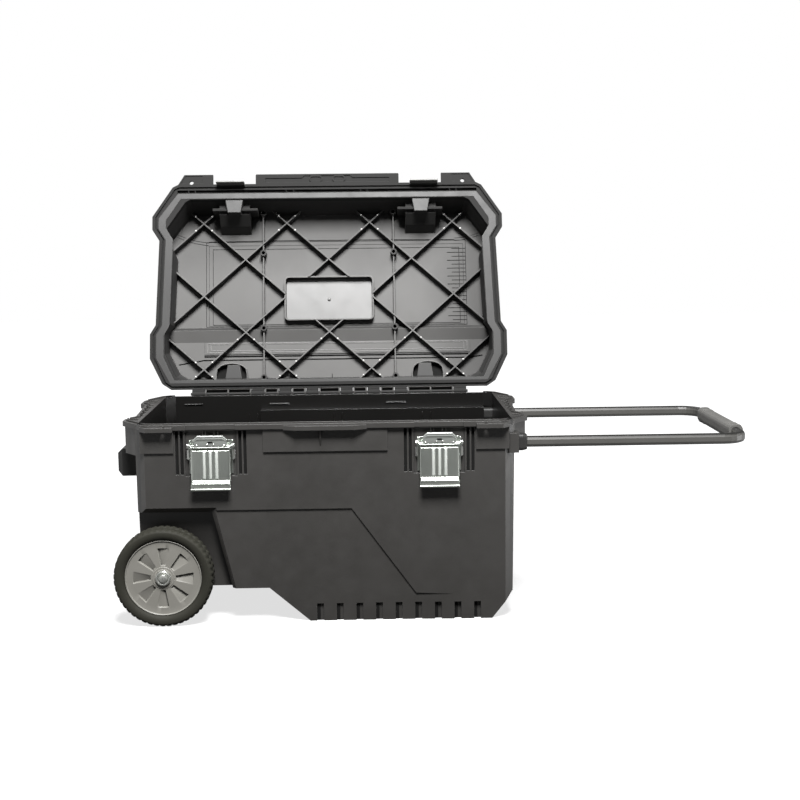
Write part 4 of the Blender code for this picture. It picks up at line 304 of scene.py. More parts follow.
def bar_into(mesh, place, start, end, half, low, high, crest=0.6):
    """A straight rib between two plan points, narrower at its high side by the share crest."""
    run = Vector((end[0] - start[0], end[1] - start[1]))
    side = Vector((-run.y, run.x)).normalized() * half
    rings = []
    for level, share in ((low, 1.0), (high, crest)):
        out = side * share
        spots = ((start, -1), (end, -1), (end, 1), (start, 1))
        rings.append([place(p[0] + sign * out.x, p[1] + sign * out.y, level) for p, sign in spots])
    loft_into(mesh, rings)


def made(name, mesh, material, body, smooth=None):
    """Turns a bmesh into a piece that rides on a body; smooth is the sharpest angle shaded round."""
    bmesh.ops.recalc_face_normals(mesh, faces=mesh.faces)
    data = bpy.data.meshes.new(name)
    mesh.to_mesh(data)
    mesh.free()
    data.materials.append(material)
    if smooth is not None:
        data.shade_smooth()
        data.set_sharp_from_angle(angle=math.radians(smooth))
    piece = bpy.data.objects.new(name, data)
    scene.collection.objects.link(piece)
    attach(piece, body)
    return piece


def distance_mask(tree, axis, middle, none, full):
    """A mask by the distance from a middle along one axis: 0 at the distance none, 1 at full."""
    place = node_of(tree, "TexCoord")
    split = node_of(tree, "SeparateXYZ")
    link(tree, (place, "Object"), (split, 0))
    off = node_of(tree, "Math", operation="SUBTRACT")
    off.inputs[1].default_value = middle
    link(tree, (split, axis), (off, 0))
    size = node_of(tree, "Math", operation="ABSOLUTE")
    link(tree, (off, 0), (size, 0))
    mask = node_of(tree, "MapRange", From_Min=none, From_Max=full)
    link(tree, (size, 0), (mask, "Value"))
    return mask


def joined(tree, operation, masks):
    """One mask from several, by a Math operation."""
    result = masks[0]
    for mask in masks[1:]:
        step = node_of(tree, "Math", operation=operation)
        link(tree, (result, 0), (step, 0))
        link(tree, (mask, 0), (step, 1))
        result = step
    return result, 0


def inside_shade_zone(tree):
    """A mask of the tub's inside, where shade is painted darker.

    It is sharp at its walls, full under the rim and fading to its floor.
    """
    length = distance_mask(tree, "X", 0.0, 0.341, 0.340)
    width = distance_mask(tree, "Y", 0.0028, 0.2127, 0.2117)
    depth = distance_mask(tree, "Z", 0.295, 0.235, 0.080)
    return joined(tree, "MULTIPLY", [length, width, depth])


body_plastic = moulded(
    "body_plastic",
    (0.0195, 0.0185, 0.0172),
    (0.0285, 0.0270, 0.0253),
    (0.060, 0.058, 0.055),
    (0.40, 0.52),
    zone=inside_shade_zone,
    zone_tone=0.16,
    zone_rough=0.30,
)
dress(["body_shell"], body_plastic)

# Ribs and ledges of the tub, moulded with it in the same plastic. Guide ribs stand in pairs on the rear
# wall's channel, three low ledges sit above it, and short ribs stiffen the notch over each latch.
LATCH_X = 0.206
SUNK = 0.0002


def facing_front(x, z, y):
    """A point of an elevation seen from the latch side, with its distance along Y last."""
    return Vector((x, y, z))


mesh = bmesh.new()
channel_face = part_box("rear_tube_channel")[0][1]
rib_low, rib_high, rib_half, rib_tall = 0.3095, 0.3315, 0.0009, 0.006
for middle in (-0.1575, 0.018, 0.2015):
    for x in (middle - 0.0087, middle + 0.0087):
        foot, crest = channel_face + SUNK, channel_face - rib_tall
        bar_into(mesh, facing_front, (x, rib_low), (x, rib_high), rib_half, foot, crest)
made("tub_guide_ribs", mesh, body_plastic, "chest")

mesh = bmesh.new()
wall, ledge = 0.2142, 0.2112
for left, right, z in ((-0.303, -0.265, 0.3508), (-0.126, -0.084, 0.3498), (0.118, 0.160, 0.3500)):
    section = ((wall, z + 0.0008), (ledge, z - 0.0014), (ledge, z - 0.0024), (wall, z - 0.0024))
    loft_into(mesh, [[(x, y, up) for y, up in section] for x in (left, right)])
made("tub_rear_ledges", mesh, body_plastic, "chest")

mesh = bmesh.new()
rib_low, rib_high, rib_half = 0.3395, 0.3545, 0.0008
foot, crest = -0.2115, -0.2165
for latch in (-LATCH_X, LATCH_X):
    for step in (-0.0148, -0.0093, 0.0060, 0.0130):
        x = latch + step
        bar_into(mesh, facing_front, (x, rib_low), (x, rib_high), rib_half, foot, crest)
made("latch_notch_ribs", mesh, body_plastic, "chest")

# Floors of the tub's slots. Two slots run down beside each latch pocket and a row of notches stands
# along the foot, all moulded with the tub. Thin near-black plates on their floors paint the shade in
# them.
painted_shade_plastic = moulded(
    "painted_shade_plastic",
    (0.004, 0.004, 0.0038),
    (0.007, 0.0069, 0.0066),
    (0.012, 0.012, 0.0115),
    (0.7, 0.8),
    gloss=0.12,
)
mesh = bmesh.new()
slot_low, slot_high = 0.2754, 0.3540
slot_first, slot_wide, slot_pitch = 0.0497, 0.0054, 0.0088
for latch in (-LATCH_X, LATCH_X):
    for end in (-1, 1):
        for step in range(2):
            near = latch + end * (slot_first + step * slot_pitch)
            far = near + end * slot_wide
            section = ((near, slot_low), (far, slot_low), (far, slot_high), (near, slot_high))
            loft_into(mesh, [[(x, y, z) for x, z in section] for y in (-0.2116, -0.2132)])
made("latch_slot_shade_plates", mesh, painted_shade_plastic, "chest")

mesh = bmesh.new()
notch_low, notch_high = 0.0006, 0.0316
notch_first, notch_wide, notch_pitch = -0.0136, 0.0060, 0.0360
for side in (-1, 1):
    for step in range(9):
        right = notch_first + step * notch_pitch
        left = right - notch_wide
        section = ((left, notch_low), (right, notch_low), (right, notch_high), (left, notch_high))
        loft_into(mesh, [[(x, side * y, z) for x, z in section] for y in (0.2109, 0.2120)])
made("foot_slot_shade_plates", mesh, painted_shade_plastic, "chest")

# Axle and wheels. A plain steel axle passes under the tub. Each wheel is a grey moulded hub with eight
# wide spokes and a solid rubber tyre with a blocked tread, held by a washer and a pushed-on cap. The
# tyres stand for the plain CAD ones; their blocks stay within the same radius.


def steel(name, colour, rough, streaks, edge=0.35):
    """Plated steel: clouded tone, uneven gloss and edges painted paler as wear and highlight, with fine
    rolling streaks along one direction.
    """
    material, tree, shader = tree_of(name)
    shader.inputs["Metallic"].default_value = 1.0
    place = node_of(tree, "TexCoord")
    stretch = node_of(tree, "Mapping", Scale=streaks)
    link(tree, (place, "Object"), (stretch, "Vector"))
    cloud = node_of(tree, "TexNoise", Scale=60.0, Detail=4.0, Roughness=0.6)
    link(tree, (place, "Object"), (cloud, "Vector"))
    lines = node_of(tree, "TexNoise", Scale=1.0, Detail=3.0, Roughness=0.6)
    link(tree, (stretch, "Vector"), (lines, "Vector"))
    low = tuple(part * 0.9 for part in colour)
    tone = node_of(tree, "MixRGB", Color1=(*low, 1), Color2=(*colour, 1))
    link(tree, (cloud, "Fac"), (tone, "Fac"))
    edges = node_of(tree, "Group", node_tree=EDGE)
    edges.inputs["Radius"].default_value = 0.0005
    # Edges are painted paler, as wear and as highlight.
    pale = tuple(min(1.0, part + edge) for part in colour)
    worn_and_lit = node_of(tree, "MixRGB", Color2=(*pale, 1))
    link(tree, (edges, "Edge"), (worn_and_lit, "Fac"))
    link(tree, (tone, 0), (worn_and_lit, "Color1"))
    link(tree, (worn_and_lit, 0), (shader, "Base Color"))
    sheen = node_of(tree, "MapRange", From_Min=0.35, From_Max=0.65, To_Min=rough[0], To_Max=rough[1])
    link(tree, (lines, "Fac"), (sheen, "Value"))
    link(tree, (sheen, "Result"), (shader, "Roughness"))
    height = node_of(tree, "Bump", Strength=0.05, Distance=0.0002)
    link(tree, (lines, "Fac"), (height, "Height"))
    link(tree, (edges, "Normal"), (height, "Normal"))
    link(tree, (height, "Normal"), (shader, "Normal"))
    return material


bright_zinc = steel("bright_zinc", (0.62, 0.63, 0.60), (0.22, 0.34), (900.0, 900.0, 60.0))
dress(["axle", "front_washer", "rear_washer"], bright_zinc)
hub_plastic = moulded(
    "hub_plastic",
    (0.128, 0.124, 0.110),
    (0.158, 0.153, 0.138),
    (0.30, 0.295, 0.27),
    (0.42, 0.55),
    bump=0.08,
    radius=0.0007,
)
dress(["front_wheel_hub", "rear_wheel_hub"], hub_plastic)
tyre_rubber = moulded(
    "tyre_rubber",
    (0.0110, 0.0107, 0.0072),
    (0.0165, 0.0160, 0.0112),
    (0.030, 0.029, 0.025),
    (0.70, 0.82),
    bump=0.3,
    radius=0.0006,
    gloss=0.26,
)

WHEEL_CENTRE = (-0.296, 0.090)
WHEEL_FACE = 0.243
TYRE_WIDE = 0.046
TREAD_STEPS = 240
TREAD_BLOCKS = 48
BLOCK_SHARE = 0.62
BLOCK_LEAN = 22.0
# Distance in from the outer face, radius between the blocks, radius on the blocks and the row
TREAD = (
    (0.0056, 0.0694, 0.0694, 0),
    (0.0032, 0.0712, 0.0712, 0),
    (0.0010, 0.0745, 0.0745, 0),
    (0.0000, 0.0790, 0.0790, 0),
    (0.0000, 0.0835, 0.0835, 0),
    (0.0004, 0.0852, 0.0852, 0),
    (0.0014, 0.0862, 0.0866, 0),
    (0.0024, 0.0866, 0.0880, 1),
    (0.0045, 0.0874, 0.0892, 1),
    (0.0075, 0.0880, 0.0898, 1),
    (0.0115, 0.0882, 0.0899, 1),
    (0.0155, 0.0882, 0.0899, 1),
    (0.0195, 0.0882, 0.0899, 1),
    (0.0210, 0.0880, 0.0880, 1),
)


def wheel_point(side, out, radius, angle):
    """A place on a wheel, from its distance out of the chest's middle, its radius and its angle."""
    x = WHEEL_CENTRE[0] + radius * math.cos(angle)
    z = WHEEL_CENTRE[1] + radius * math.sin(angle)
    return x, side * out, z


def wrap_into(mesh, rings):
    """A solid ring through closed rings of points, the last of which joins the first."""
    rows = [[mesh.verts.new(point) for point in ring] for ring in rings]
    count = len(rows[0])
    for row, after in zip(rows, rows[1:] + rows[:1]):
        for i in range(count):
            j = (i + 1) % count
            mesh.faces.new((row[i], row[j], after[j], after[i]))


def on_block(turn, distance, row):
    """Whether a place round the tread is on a block; the blocks lean, and the far row is staggered."""
    phase = turn * TREAD_BLOCKS + BLOCK_LEAN * distance + 0.5 * row
    return phase % 1.0 < BLOCK_SHARE


for side, word in ((-1, "front"), (1, "rear")):
    far = [(TYRE_WIDE - distance, low, high, 2 * row) for distance, low, high, row in reversed(TREAD)]
    rings = []
    for distance, low, high, row in (*TREAD, *far):
        ring = []
        for i in range(TREAD_STEPS):
            turn = i / TREAD_STEPS
            radius = high if row and on_block(turn, distance, row) else low
            ring.append(wheel_point(side, WHEEL_FACE - distance, radius, math.tau * turn))
        rings.append(ring)
    mesh = bmesh.new()
    wrap_into(mesh, rings)
    tyre = made(f"{word}_tyre_tread", mesh, tyre_rubber, f"{word}_wheel", smooth=34)
    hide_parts(f"{word}_tyre")

# Hub faces and cap nuts. Each hub is moulded with a thin raised rim, a stepped boss and eight wedge
# pockets, whose floors slope to one side. The cap is a pressed zinc nut with a round nose in a groove.
POCKET_COUNT = 8
POCKET_TURN = math.radians(-2)
POCKET_RADII = (0.0224, 0.0550)
POCKET_DEPTH = 0.0026
POCKET_SLOPE = 0.0022
POCKET_END = 0.0014
POCKET_WALL = 0.0008
HUB_STEPS = 320
HUB_MIDDLE = 0.23
# Distance out from the chest's middle, and radius
HUB_STATIONS = (
    (0.2384, 0.0070),
    (0.2384, 0.0158),
    (0.2378, 0.0162),
    (0.2378, 0.0198),
    *((0.2371, radius) for radius in (0.0204, 0.0222, 0.0226, 0.0238, 0.0300)),
    *((0.2371, radius) for radius in (0.0380, 0.0460, 0.0536, 0.0548, 0.0552)),
    (0.2370, 0.0660),
    (0.2372, 0.0668),
    (0.2384, 0.0674),
    (0.2389, 0.0681),
    (0.2387, 0.0689),
    (0.2380, 0.0692),
    (0.2036, 0.0692),
    (0.2032, 0.0300),
    (0.2032, 0.0070),
)
CAP_STEPS = 64
CAP_NUT = (
    (0.2396, 0.0062),
    (0.2396, 0.0134),
    (0.2410, 0.0136),
    (0.2424, 0.0128),
    (0.2428, 0.0114),
    (0.2424, 0.0098),
    (0.2412, 0.0086),
    (0.2410, 0.0076),
    (0.2438, 0.0073),
    (0.2450, 0.0066),
    (0.2455, 0.0052),
    (0.2456, 0.0010),
    (0.2450, 0.0010),
    (0.2440, 0.0062),
)
cap_zinc = steel("cap_zinc", (0.50, 0.51, 0.48), (0.42, 0.52), (900.0, 900.0, 60.0))


def pocket_depth(radius, angle):
    """How far the hub's face drops at a place: a wedge pocket that is deeper along one side."""
    inner, outer = POCKET_RADII
    sector = math.tau / POCKET_COUNT
    off = (angle - POCKET_TURN + sector / 2) % sector - sector / 2
    room = sector / 4 - abs(off)
    if not inner < radius < outer or room <= 0:
        return 0.0
    ends = min((radius - inner) / POCKET_END, (outer - radius) / POCKET_END, 1)
    wall = min(room * radius / POCKET_WALL, 1)
    return ends * wall * (POCKET_DEPTH + POCKET_SLOPE * off / (sector / 4))


for side, word in ((-1, "front"), (1, "rear")):
    rings = []
    for out, radius in HUB_STATIONS:
        ring = []
        for i in range(HUB_STEPS):
            angle = math.tau * i / HUB_STEPS
            drop = pocket_depth(radius, angle) if out > HUB_MIDDLE else 0
            ring.append(wheel_point(side, out - drop, radius, angle))
        rings.append(ring)
    mesh = bmesh.new()
    wrap_into(mesh, rings)
    face = made(f"{word}_hub_face", mesh, hub_plastic, f"{word}_wheel", smooth=30)
    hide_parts(f"{word}_wheel_hub")
    rings = []
    for out, radius in CAP_NUT:
        rings.append([wheel_point(side, out, radius, math.tau * i / CAP_STEPS) for i in range(CAP_STEPS)])
    mesh = bmesh.new()
    wrap_into(mesh, rings)
    nut = made(f"{word}_cap_nut", mesh, cap_zinc, "chest", smooth=30)
    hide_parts(f"{word}_axle_cap")

# Carry grip. A dark moulded bar with chamfered edges, screwed to the wheel end by one pan-head screw
# through each foot.
trim_plastic = moulded(
    "trim_plastic",
    (0.009, 0.009, 0.0086),
    (0.015, 0.0147, 0.0142),
    (0.04, 0.039, 0.0375),
    (0.50, 0.62),
    gloss=0.35,
)
dress(["carry_grip"], trim_plastic)
screw_steel = steel("screw_steel", (0.42, 0.42, 0.40), (0.3, 0.42), (300.0, 300.0, 300.0))
dress(["grip_screw_front", "grip_screw_rear"], screw_steel)

# Latches. Each is pressed from zinc-plated sheet: a base riveted in its pocket, a lever with three
# round flutes, rolled side edges and a turned-out lip, and a hooked claw on a pin. The sheet mirrors
# the dim room, so it looks grey-green between its edges, which are painted bright as wear and
# highlight.
latch_zinc = steel("latch_zinc", (0.50, 0.53, 0.49), (0.29, 0.37), (1200.0, 1200.0, 90.0), 0.2)
base_names = []
for word in ("left", "right"):
    base_names += [f"{word}_latch_base", f"{word}_lever_pin", f"{word}_claw_pin"]
    base_names += [f"{word}_base_rivet_lower", f"{word}_base_rivet_upper"]
dress(base_names, latch_zinc)

# Levers. Each is one pressed blade of 1.2 mm sheet with three round flutes, side edges rolled back and
# a lip turned out at its lower end. Its two cheeks stand on the lever's pin.
LEVER_FACE = -0.2313
SHEET = 0.0012
CHEEK_OUT = 0.03535
CHEEK_WIDE = 0.0016
LIP_TOP = 0.2522
LIP_FLARE = 1.012
FLUTE_PITCH = 0.0107
FLUTE_ENDS = (0.2680, 0.3192)
FLUTE_HALF = 0.0031
FLUTE_TALL = 0.0021
FLUTE_RUN = 0.003
ROLL_START = 0.0332
ROLL_RADIUS = 0.0023
ROLL_LOW = 0.2595
# Height on the lever, and how far its face stands out there
LEVER_PROFILE = (
    (0.3206, -0.0004),
    (0.3203, -0.0001),
    *((height, 0.0) for height in (0.3197, 0.3185, 0.3160, 0.3050, 0.2900)),
    *((height, 0.0) for height in (0.2760, 0.2725, 0.2705, 0.2690, 0.2680)),
    (0.2664, 0.0001),
    (0.2655, 0.0006),
    (0.2646, 0.0018),
    (0.2632, 0.0040),
    (0.2622, 0.0053),
    (0.2615, 0.0058),
    (0.2608, 0.0060),
    (0.2580, 0.0059),
    (0.2526, 0.0057),
    (0.2520, 0.0060),
    (0.2512, 0.0065),
    (0.2500, 0.0067),
    (0.2488, 0.0065),
    (0.2480, 0.0058),
)
# Cheek outline across the lever, as (y, z), round the pins
CHEEK = (
    (-0.2309, 0.2980),
    (-0.2281, 0.2980),
    (-0.2180, 0.3253),
    (-0.2180, 0.3297),
    (-0.2203, 0.3320),
    (-0.2290, 0.3297),
    (-0.2311, 0.3270),
    (-0.2311, 0.3240),
    (-0.2309, 0.3204),
)


def lever_columns():
    """Places across the lever, close together over its flutes and rolled edges."""
    columns = [0.0, 0.0053, 0.018, 0.024, 0.030, 0.0330, 0.0338, 0.0346, 0.0352, 0.0355]
    for middle in (FLUTE_PITCH, 0.0):
        for share in (-1.0, -0.93, -0.75, -0.4, 0.0, 0.4, 0.75, 0.93, 1.0):
            columns.append(middle + share * FLUTE_HALF)
    both = {round(x, 6) for x in columns} | {round(-x, 6) for x in columns}
    return sorted(both)


def lever_face(x, z, stand):
    """The lever's front face at a place: its lip, flutes and rolled side edges."""
    out = stand
    low, high = FLUTE_ENDS
    for middle in (-FLUTE_PITCH, 0.0, FLUTE_PITCH):
        across = (x - middle) / FLUTE_HALF
        if abs(across) < 1 and low < z < high:
            near_end = min(z - low, high - z, FLUTE_RUN) / FLUTE_RUN
            out += FLUTE_TALL * math.sqrt(1 - across**2) * math.sqrt(1 - (1 - near_end) ** 2)
    past = abs(x) - ROLL_START
    if past > 0 and z > ROLL_LOW:
        out -= ROLL_RADIUS - math.sqrt(max(ROLL_RADIUS**2 - past**2, 0))
    return LEVER_FACE - out


columns = lever_columns()
rows, count = len(LEVER_PROFILE), len(columns)
for middle, word in ((-LATCH_X, "left"), (LATCH_X, "right")):
    mesh = bmesh.new()
    sheets = []
    for thick in (0.0, SHEET):
        sheet = []
        for z, stand in LEVER_PROFILE:
            wide = LIP_FLARE if z < LIP_TOP else 1.0
            row = []
            for x in columns:
                y = lever_face(x, z, stand) + thick
                row.append(mesh.verts.new((middle + x * wide, y, z)))
            sheet.append(row)
        sheets.append(sheet)
    front, back = sheets
    for sheet in sheets:
        for i in range(rows - 1):
            for j in range(count - 1):
                mesh.faces.new((sheet[i][j], sheet[i][j + 1], sheet[i + 1][j + 1], sheet[i + 1][j]))
    for j in range(count - 1):
        mesh.faces.new((front[0][j], front[0][j + 1], back[0][j + 1], back[0][j]))
        mesh.faces.new((front[-1][j], front[-1][j + 1], back[-1][j + 1], back[-1][j]))
    for i in range(rows - 1):
        mesh.faces.new((front[i][0], front[i + 1][0], back[i + 1][0], back[i][0]))
        mesh.faces.new((front[i][-1], front[i + 1][-1], back[i + 1][-1], back[i][-1]))
    for end in (-1, 1):
        edge = middle + end * CHEEK_OUT
        loft_into(mesh, [[(x, y, z) for y, z in CHEEK] for x in (edge, edge - end * CHEEK_WIDE)])
    lever = made(f"{word}_lever_pressing", mesh, latch_zinc, f"{word}_lever", smooth=40)
    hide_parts(f"{word}_latch_lever")

# Flute highlights. A skin over the crest of each flute, 0.25 mm thick, is painted a pale satin tone,
# paler than the rest of the zinc, as the highlight that the round crests catch.
flute_painted_highlight = moulded(
    "flute_painted_highlight",
    (0.30, 0.315, 0.295),
    (0.42, 0.44, 0.415),
    (0.62, 0.64, 0.61),
    (0.22, 0.30),
    bump=0.03,
    radius=0.0006,
    gloss=0.8,
)
SKIN_PITCH = 0.0110
SKIN_HALF = 0.0028
SKIN_THICK = 0.00025
SKIN_BACK = -0.2309
# Height, and the share of the flute's rise there
SKIN_STATIONS = (
    (0.2682, 0.35),
    (0.2692, 0.8),
    (0.2712, 1),
    (0.3155, 1),
    (0.3178, 0.8),
    (0.3190, 0.35),
)
for middle, word in ((-LATCH_X, "left"), (LATCH_X, "right")):
    mesh = bmesh.new()
    for flute in (-SKIN_PITCH, 0.0, SKIN_PITCH):
        rings = []
        for z, share in SKIN_STATIONS:
            ring = []
            for i in range(9):
                across = -1 + i / 4
                rise = FLUTE_TALL * math.sqrt(max(1 - across**2, 0)) * share
                ring.append((middle + flute + SKIN_HALF * across, LEVER_FACE - rise - SKIN_THICK, z))
            ring.append((middle + flute + SKIN_HALF, SKIN_BACK, z))
            ring.append((middle + flute - SKIN_HALF, SKIN_BACK, z))
            rings.append(ring)
        loft_into(mesh, rings)
    made(f"{word}_flute_highlights", mesh, flute_painted_highlight, f"{word}_lever", smooth=50)

# Eyes of the bases. Each pressed ear is turned out to a narrow flange and carries a round eye over the
# pin. Both are the base's own zinc-plated sheet, brightest where they are worked.
PIN_Y, PIN_Z = -0.2225, 0.3275
EYE_HALF_Y, EYE_HALF_Z = 0.0052, 0.0062
EAR_OUT = 0.0412
FLANGE_FACE, FLANGE_BACK = -0.2185, -0.2172
FLANGE = ((0.0393, 0.321), (0.0430, 0.320), (0.0430, 0.304), (0.0393, 0.302))
eye_steel = steel("eye_steel", (0.72, 0.73, 0.70), (0.16, 0.26), (400.0, 400.0, 400.0), 0.2)
for middle, word in ((-LATCH_X, "left"), (LATCH_X, "right")):
    mesh = bmesh.new()
    for end in (-1, 1):
        x = middle + end * EAR_OUT
        rings = []
        for step, share in ((-0.0019, 0.8), (-0.0010, 1.0), (0.0010, 1.0), (0.0019, 0.8)):
            ring = []
            for i in range(16):
                angle = math.tau * i / 16
                y = PIN_Y + EYE_HALF_Y * share * math.cos(angle)
                z = PIN_Z + EYE_HALF_Z * share * math.sin(angle)
                ring.append((x + step, y, z))
            rings.append(ring)
        loft_into(mesh, rings)
        levels = (FLANGE_FACE, FLANGE_BACK)
        loft_into(mesh, [[(middle + end * out, y, z) for out, z in FLANGE] for y in levels])
    made(f"{word}_base_eyes", mesh, eye_steel, "chest", smooth=40)

# Claws. Each is a pressed zinc plate with clipped corners and a folded hook along its top, hung on a
# pin in the lever. The plate is painted a flat grey in place of its reflection, with its edges painted
# near white as highlight. Its slot is a near-black patch painted as the slot's shade, above a row of
# pressed beads.
CLAW_PIN_Y, CLAW_PIN_Z = -0.229, 0.3255
CLAW_LEAN = math.radians(12)
CLAW_FOOT = 0.3262
CLAW_TALL = 0.0223
CLAW_HALF = 0.0295
CLIP_START = 0.0225
# Distance out from the plate's leaning middle, and height
CLAW_SECTION = (
    (-0.0006, 0.3262),
    (0.0009, 0.3264),
    (0.0010, 0.3272),
    (0.0010, 0.3366),
    (0.0009, 0.3408),
    (0.0014, 0.3416),
    (0.0013, 0.3424),
    (0.0008, 0.3434),
    (0.0012, 0.3444),
    (0.0013, 0.3456),
    (0.0011, 0.3468),
    (0.0002, 0.3478),
    (-0.0034, 0.3480),
    (-0.0034, 0.3472),
    (-0.0006, 0.3466),
)
SLOT_SUNK, SLOT_FACE = 0.0006, 0.0012
CLAW_SLOT = ((-0.0048, 0.3340), (0.0048, 0.3340), (0.0042, 0.3372), (-0.0042, 0.3372))
BEAD_RADIUS = 0.0020
BEAD_RISE = 0.0009
BEAD_FLAT = 0.6
# Place across the plate, height and how much wider than tall
CLAW_BEADS = (
    (-0.0055, 0.3312, 1.0),
    (0.0055, 0.3312, 1.0),
    (-0.0250, 0.3292, 1.4),
    (0.0250, 0.3292, 1.4),
)
# A flat grey painted in place of the zinc's reflection, with edges painted near white as highlight.
claw_painted_reflection = moulded(
    "claw_painted_reflection",
    (0.16, 0.168, 0.158),
    (0.24, 0.252, 0.238),
    (0.62, 0.64, 0.61),
    (0.24, 0.32),
    bump=0.03,
    radius=0.0006,
    gloss=0.8,
)
# A near-black patch painted as the shade in the claw's slot.
slot_painted_shade = steel("slot_painted_shade", (0.03, 0.03, 0.03), (0.5, 0.6), (400.0, 400.0, 400.0), 0.02)


def claw_lean(z):
    """The middle of the claw's plate at a height; the plate leans out from its pin."""
    return CLAW_PIN_Y - (z - CLAW_PIN_Z) * math.tan(CLAW_LEAN)


for middle, word in ((-LATCH_X, "left"), (LATCH_X, "right")):
    rings = []
    for across in (-1, -0.999, -0.88, -0.76, 0, 0.76, 0.88, 0.999, 1):
        x = across * CLAW_HALF
        top = CLAW_FOOT + CLAW_TALL - max(0, abs(x) - CLIP_START)
        ring = []
        for out, height in CLAW_SECTION:
            z = CLAW_FOOT + (height - CLAW_FOOT) / CLAW_TALL * (top - CLAW_FOOT)
            ring.append((middle + x, claw_lean(z) - out, z))
        rings.append(ring)
    mesh = bmesh.new()
    loft_into(mesh, rings)
    claw = made(f"{word}_claw_plate", mesh, claw_painted_reflection, f"{word}_claw", smooth=35)
    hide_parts(f"{word}_latch_claw")

    mesh = bmesh.new()
    rings = [[(middle + x, claw_lean(z) - out, z) for x, z in CLAW_SLOT] for out in (SLOT_SUNK, SLOT_FACE)]
    loft_into(mesh, rings)
    made(f"{word}_claw_slot", mesh, slot_painted_shade, f"{word}_claw")

    mesh = bmesh.new()
    for x, z, wide in CLAW_BEADS:
        place = Matrix.Translation((middle + x, claw_lean(z) - BEAD_RISE, z))
        place = place @ Matrix.Diagonal((wide, BEAD_FLAT, 1, 1))
        bmesh.ops.create_uvsphere(mesh, u_segments=16, v_segments=10, radius=BEAD_RADIUS, matrix=place)
    made(f"{word}_claw_beads", mesh, eye_steel, f"{word}_claw", smooth=60)

# Pull handle. A bent aluminium tube with a dark satin coating slides in two moulded bushes and, inside,
# under two channels. A soft ribbed sleeve is pushed over its crossbar, between thin collars.
TUBE_Z = 0.324


def tube_edge_shade_zone(tree):
    """A mask of the tube's rounded top and bottom, where shade is painted dark on the coat."""
    return distance_mask(tree, "Z", TUBE_Z, 0.0058, 0.0088), "Result"


tube_coat = moulded(
    "tube_coat",
    (0.045, 0.044, 0.0405),
    (0.058, 0.0565, 0.0525),
    (0.085, 0.083, 0.078),
    (0.42, 0.52),
    bump=0.04,
    radius=0.0005,
    zone=tube_edge_shade_zone,
    zone_tone=0.18,
    zone_rough=0.35,
)
dress(["pull_handle_tube"], tube_coat)
dress(["front_handle_bush", "rear_handle_bush", "front_tube_stop", "rear_tube_stop"], trim_plastic)
dress(["front_tube_channel", "rear_tube_channel"], body_plastic)
sleeve_rubber = moulded(
    "sleeve_rubber",
    (0.060, 0.0585, 0.055),
    (0.088, 0.086, 0.081),
    (0.13, 0.128, 0.12),
    (0.6, 0.75),
    bump=0.45,
    radius=0.0008,
)
dress(["pull_handle_grip"], sleeve_rubber)

SLEEVE_X = 0.770
SLEEVE_HALF_X, SLEEVE_HALF_Z = 0.0135, 0.0150
SLEEVE_REACH = 0.01345
SLEEVE_ROUND = 0.62
COLLAR_SUNK = -0.0006


def sleeve_ring(y, grow):
    """The sleeve's rounded section at a place along the crossbar; its sides stay within the reach."""
    half_x = min(SLEEVE_HALF_X + grow, SLEEVE_REACH)
    ring = []
    for i in range(32):
        angle = math.tau * i / 32
        c, s = math.cos(angle), math.sin(angle)
        x = SLEEVE_X + half_x * math.copysign(abs(c) ** SLEEVE_ROUND, c)
        z = TUBE_Z + (SLEEVE_HALF_Z + grow) * math.copysign(abs(s) ** SLEEVE_ROUND, s)
        ring.append((x, y, z))
    return ring


mesh = bmesh.new()
for side in (-1, 1):
    for start, tall in ((0.1225, 0.0011), (0.0985, 0.0007), (0.0945, 0.0007), (0.0905, 0.0007)):
        stations = ((0.0, COLLAR_SUNK), (0.0003, tall), (0.0019, tall), (0.0022, COLLAR_SUNK))
        loft_into(mesh, [sleeve_ring(side * (start + step), grow) for step, grow in stations])
made("sleeve_collars", mesh, sleeve_rubber, "pull_handle", smooth=40)

# Lid. One moulding of the same plastic whose inside comes from a polished core. The roof between its
# ribs is painted pale as its satin sheen, and darker towards its front and right-hand end as shade; the
# ribs and walls are darker with painted shade, and the rim is darkest. It hangs on its rod.
HINGE = Vector((0, 0.226, 0.369))
OPEN = math.radians(104.5)
SWING = Matrix.Translation(HINGE) @ Matrix.Rotation(-OPEN, 4, "X")
ROOF = 0.4426


def on_lid(x, forward, z):
    """A place in the closed lid, from its distance forward of the hinge, turned to where it stands."""
    return SWING @ (Vector((x, HINGE.y - forward, z)) - HINGE)


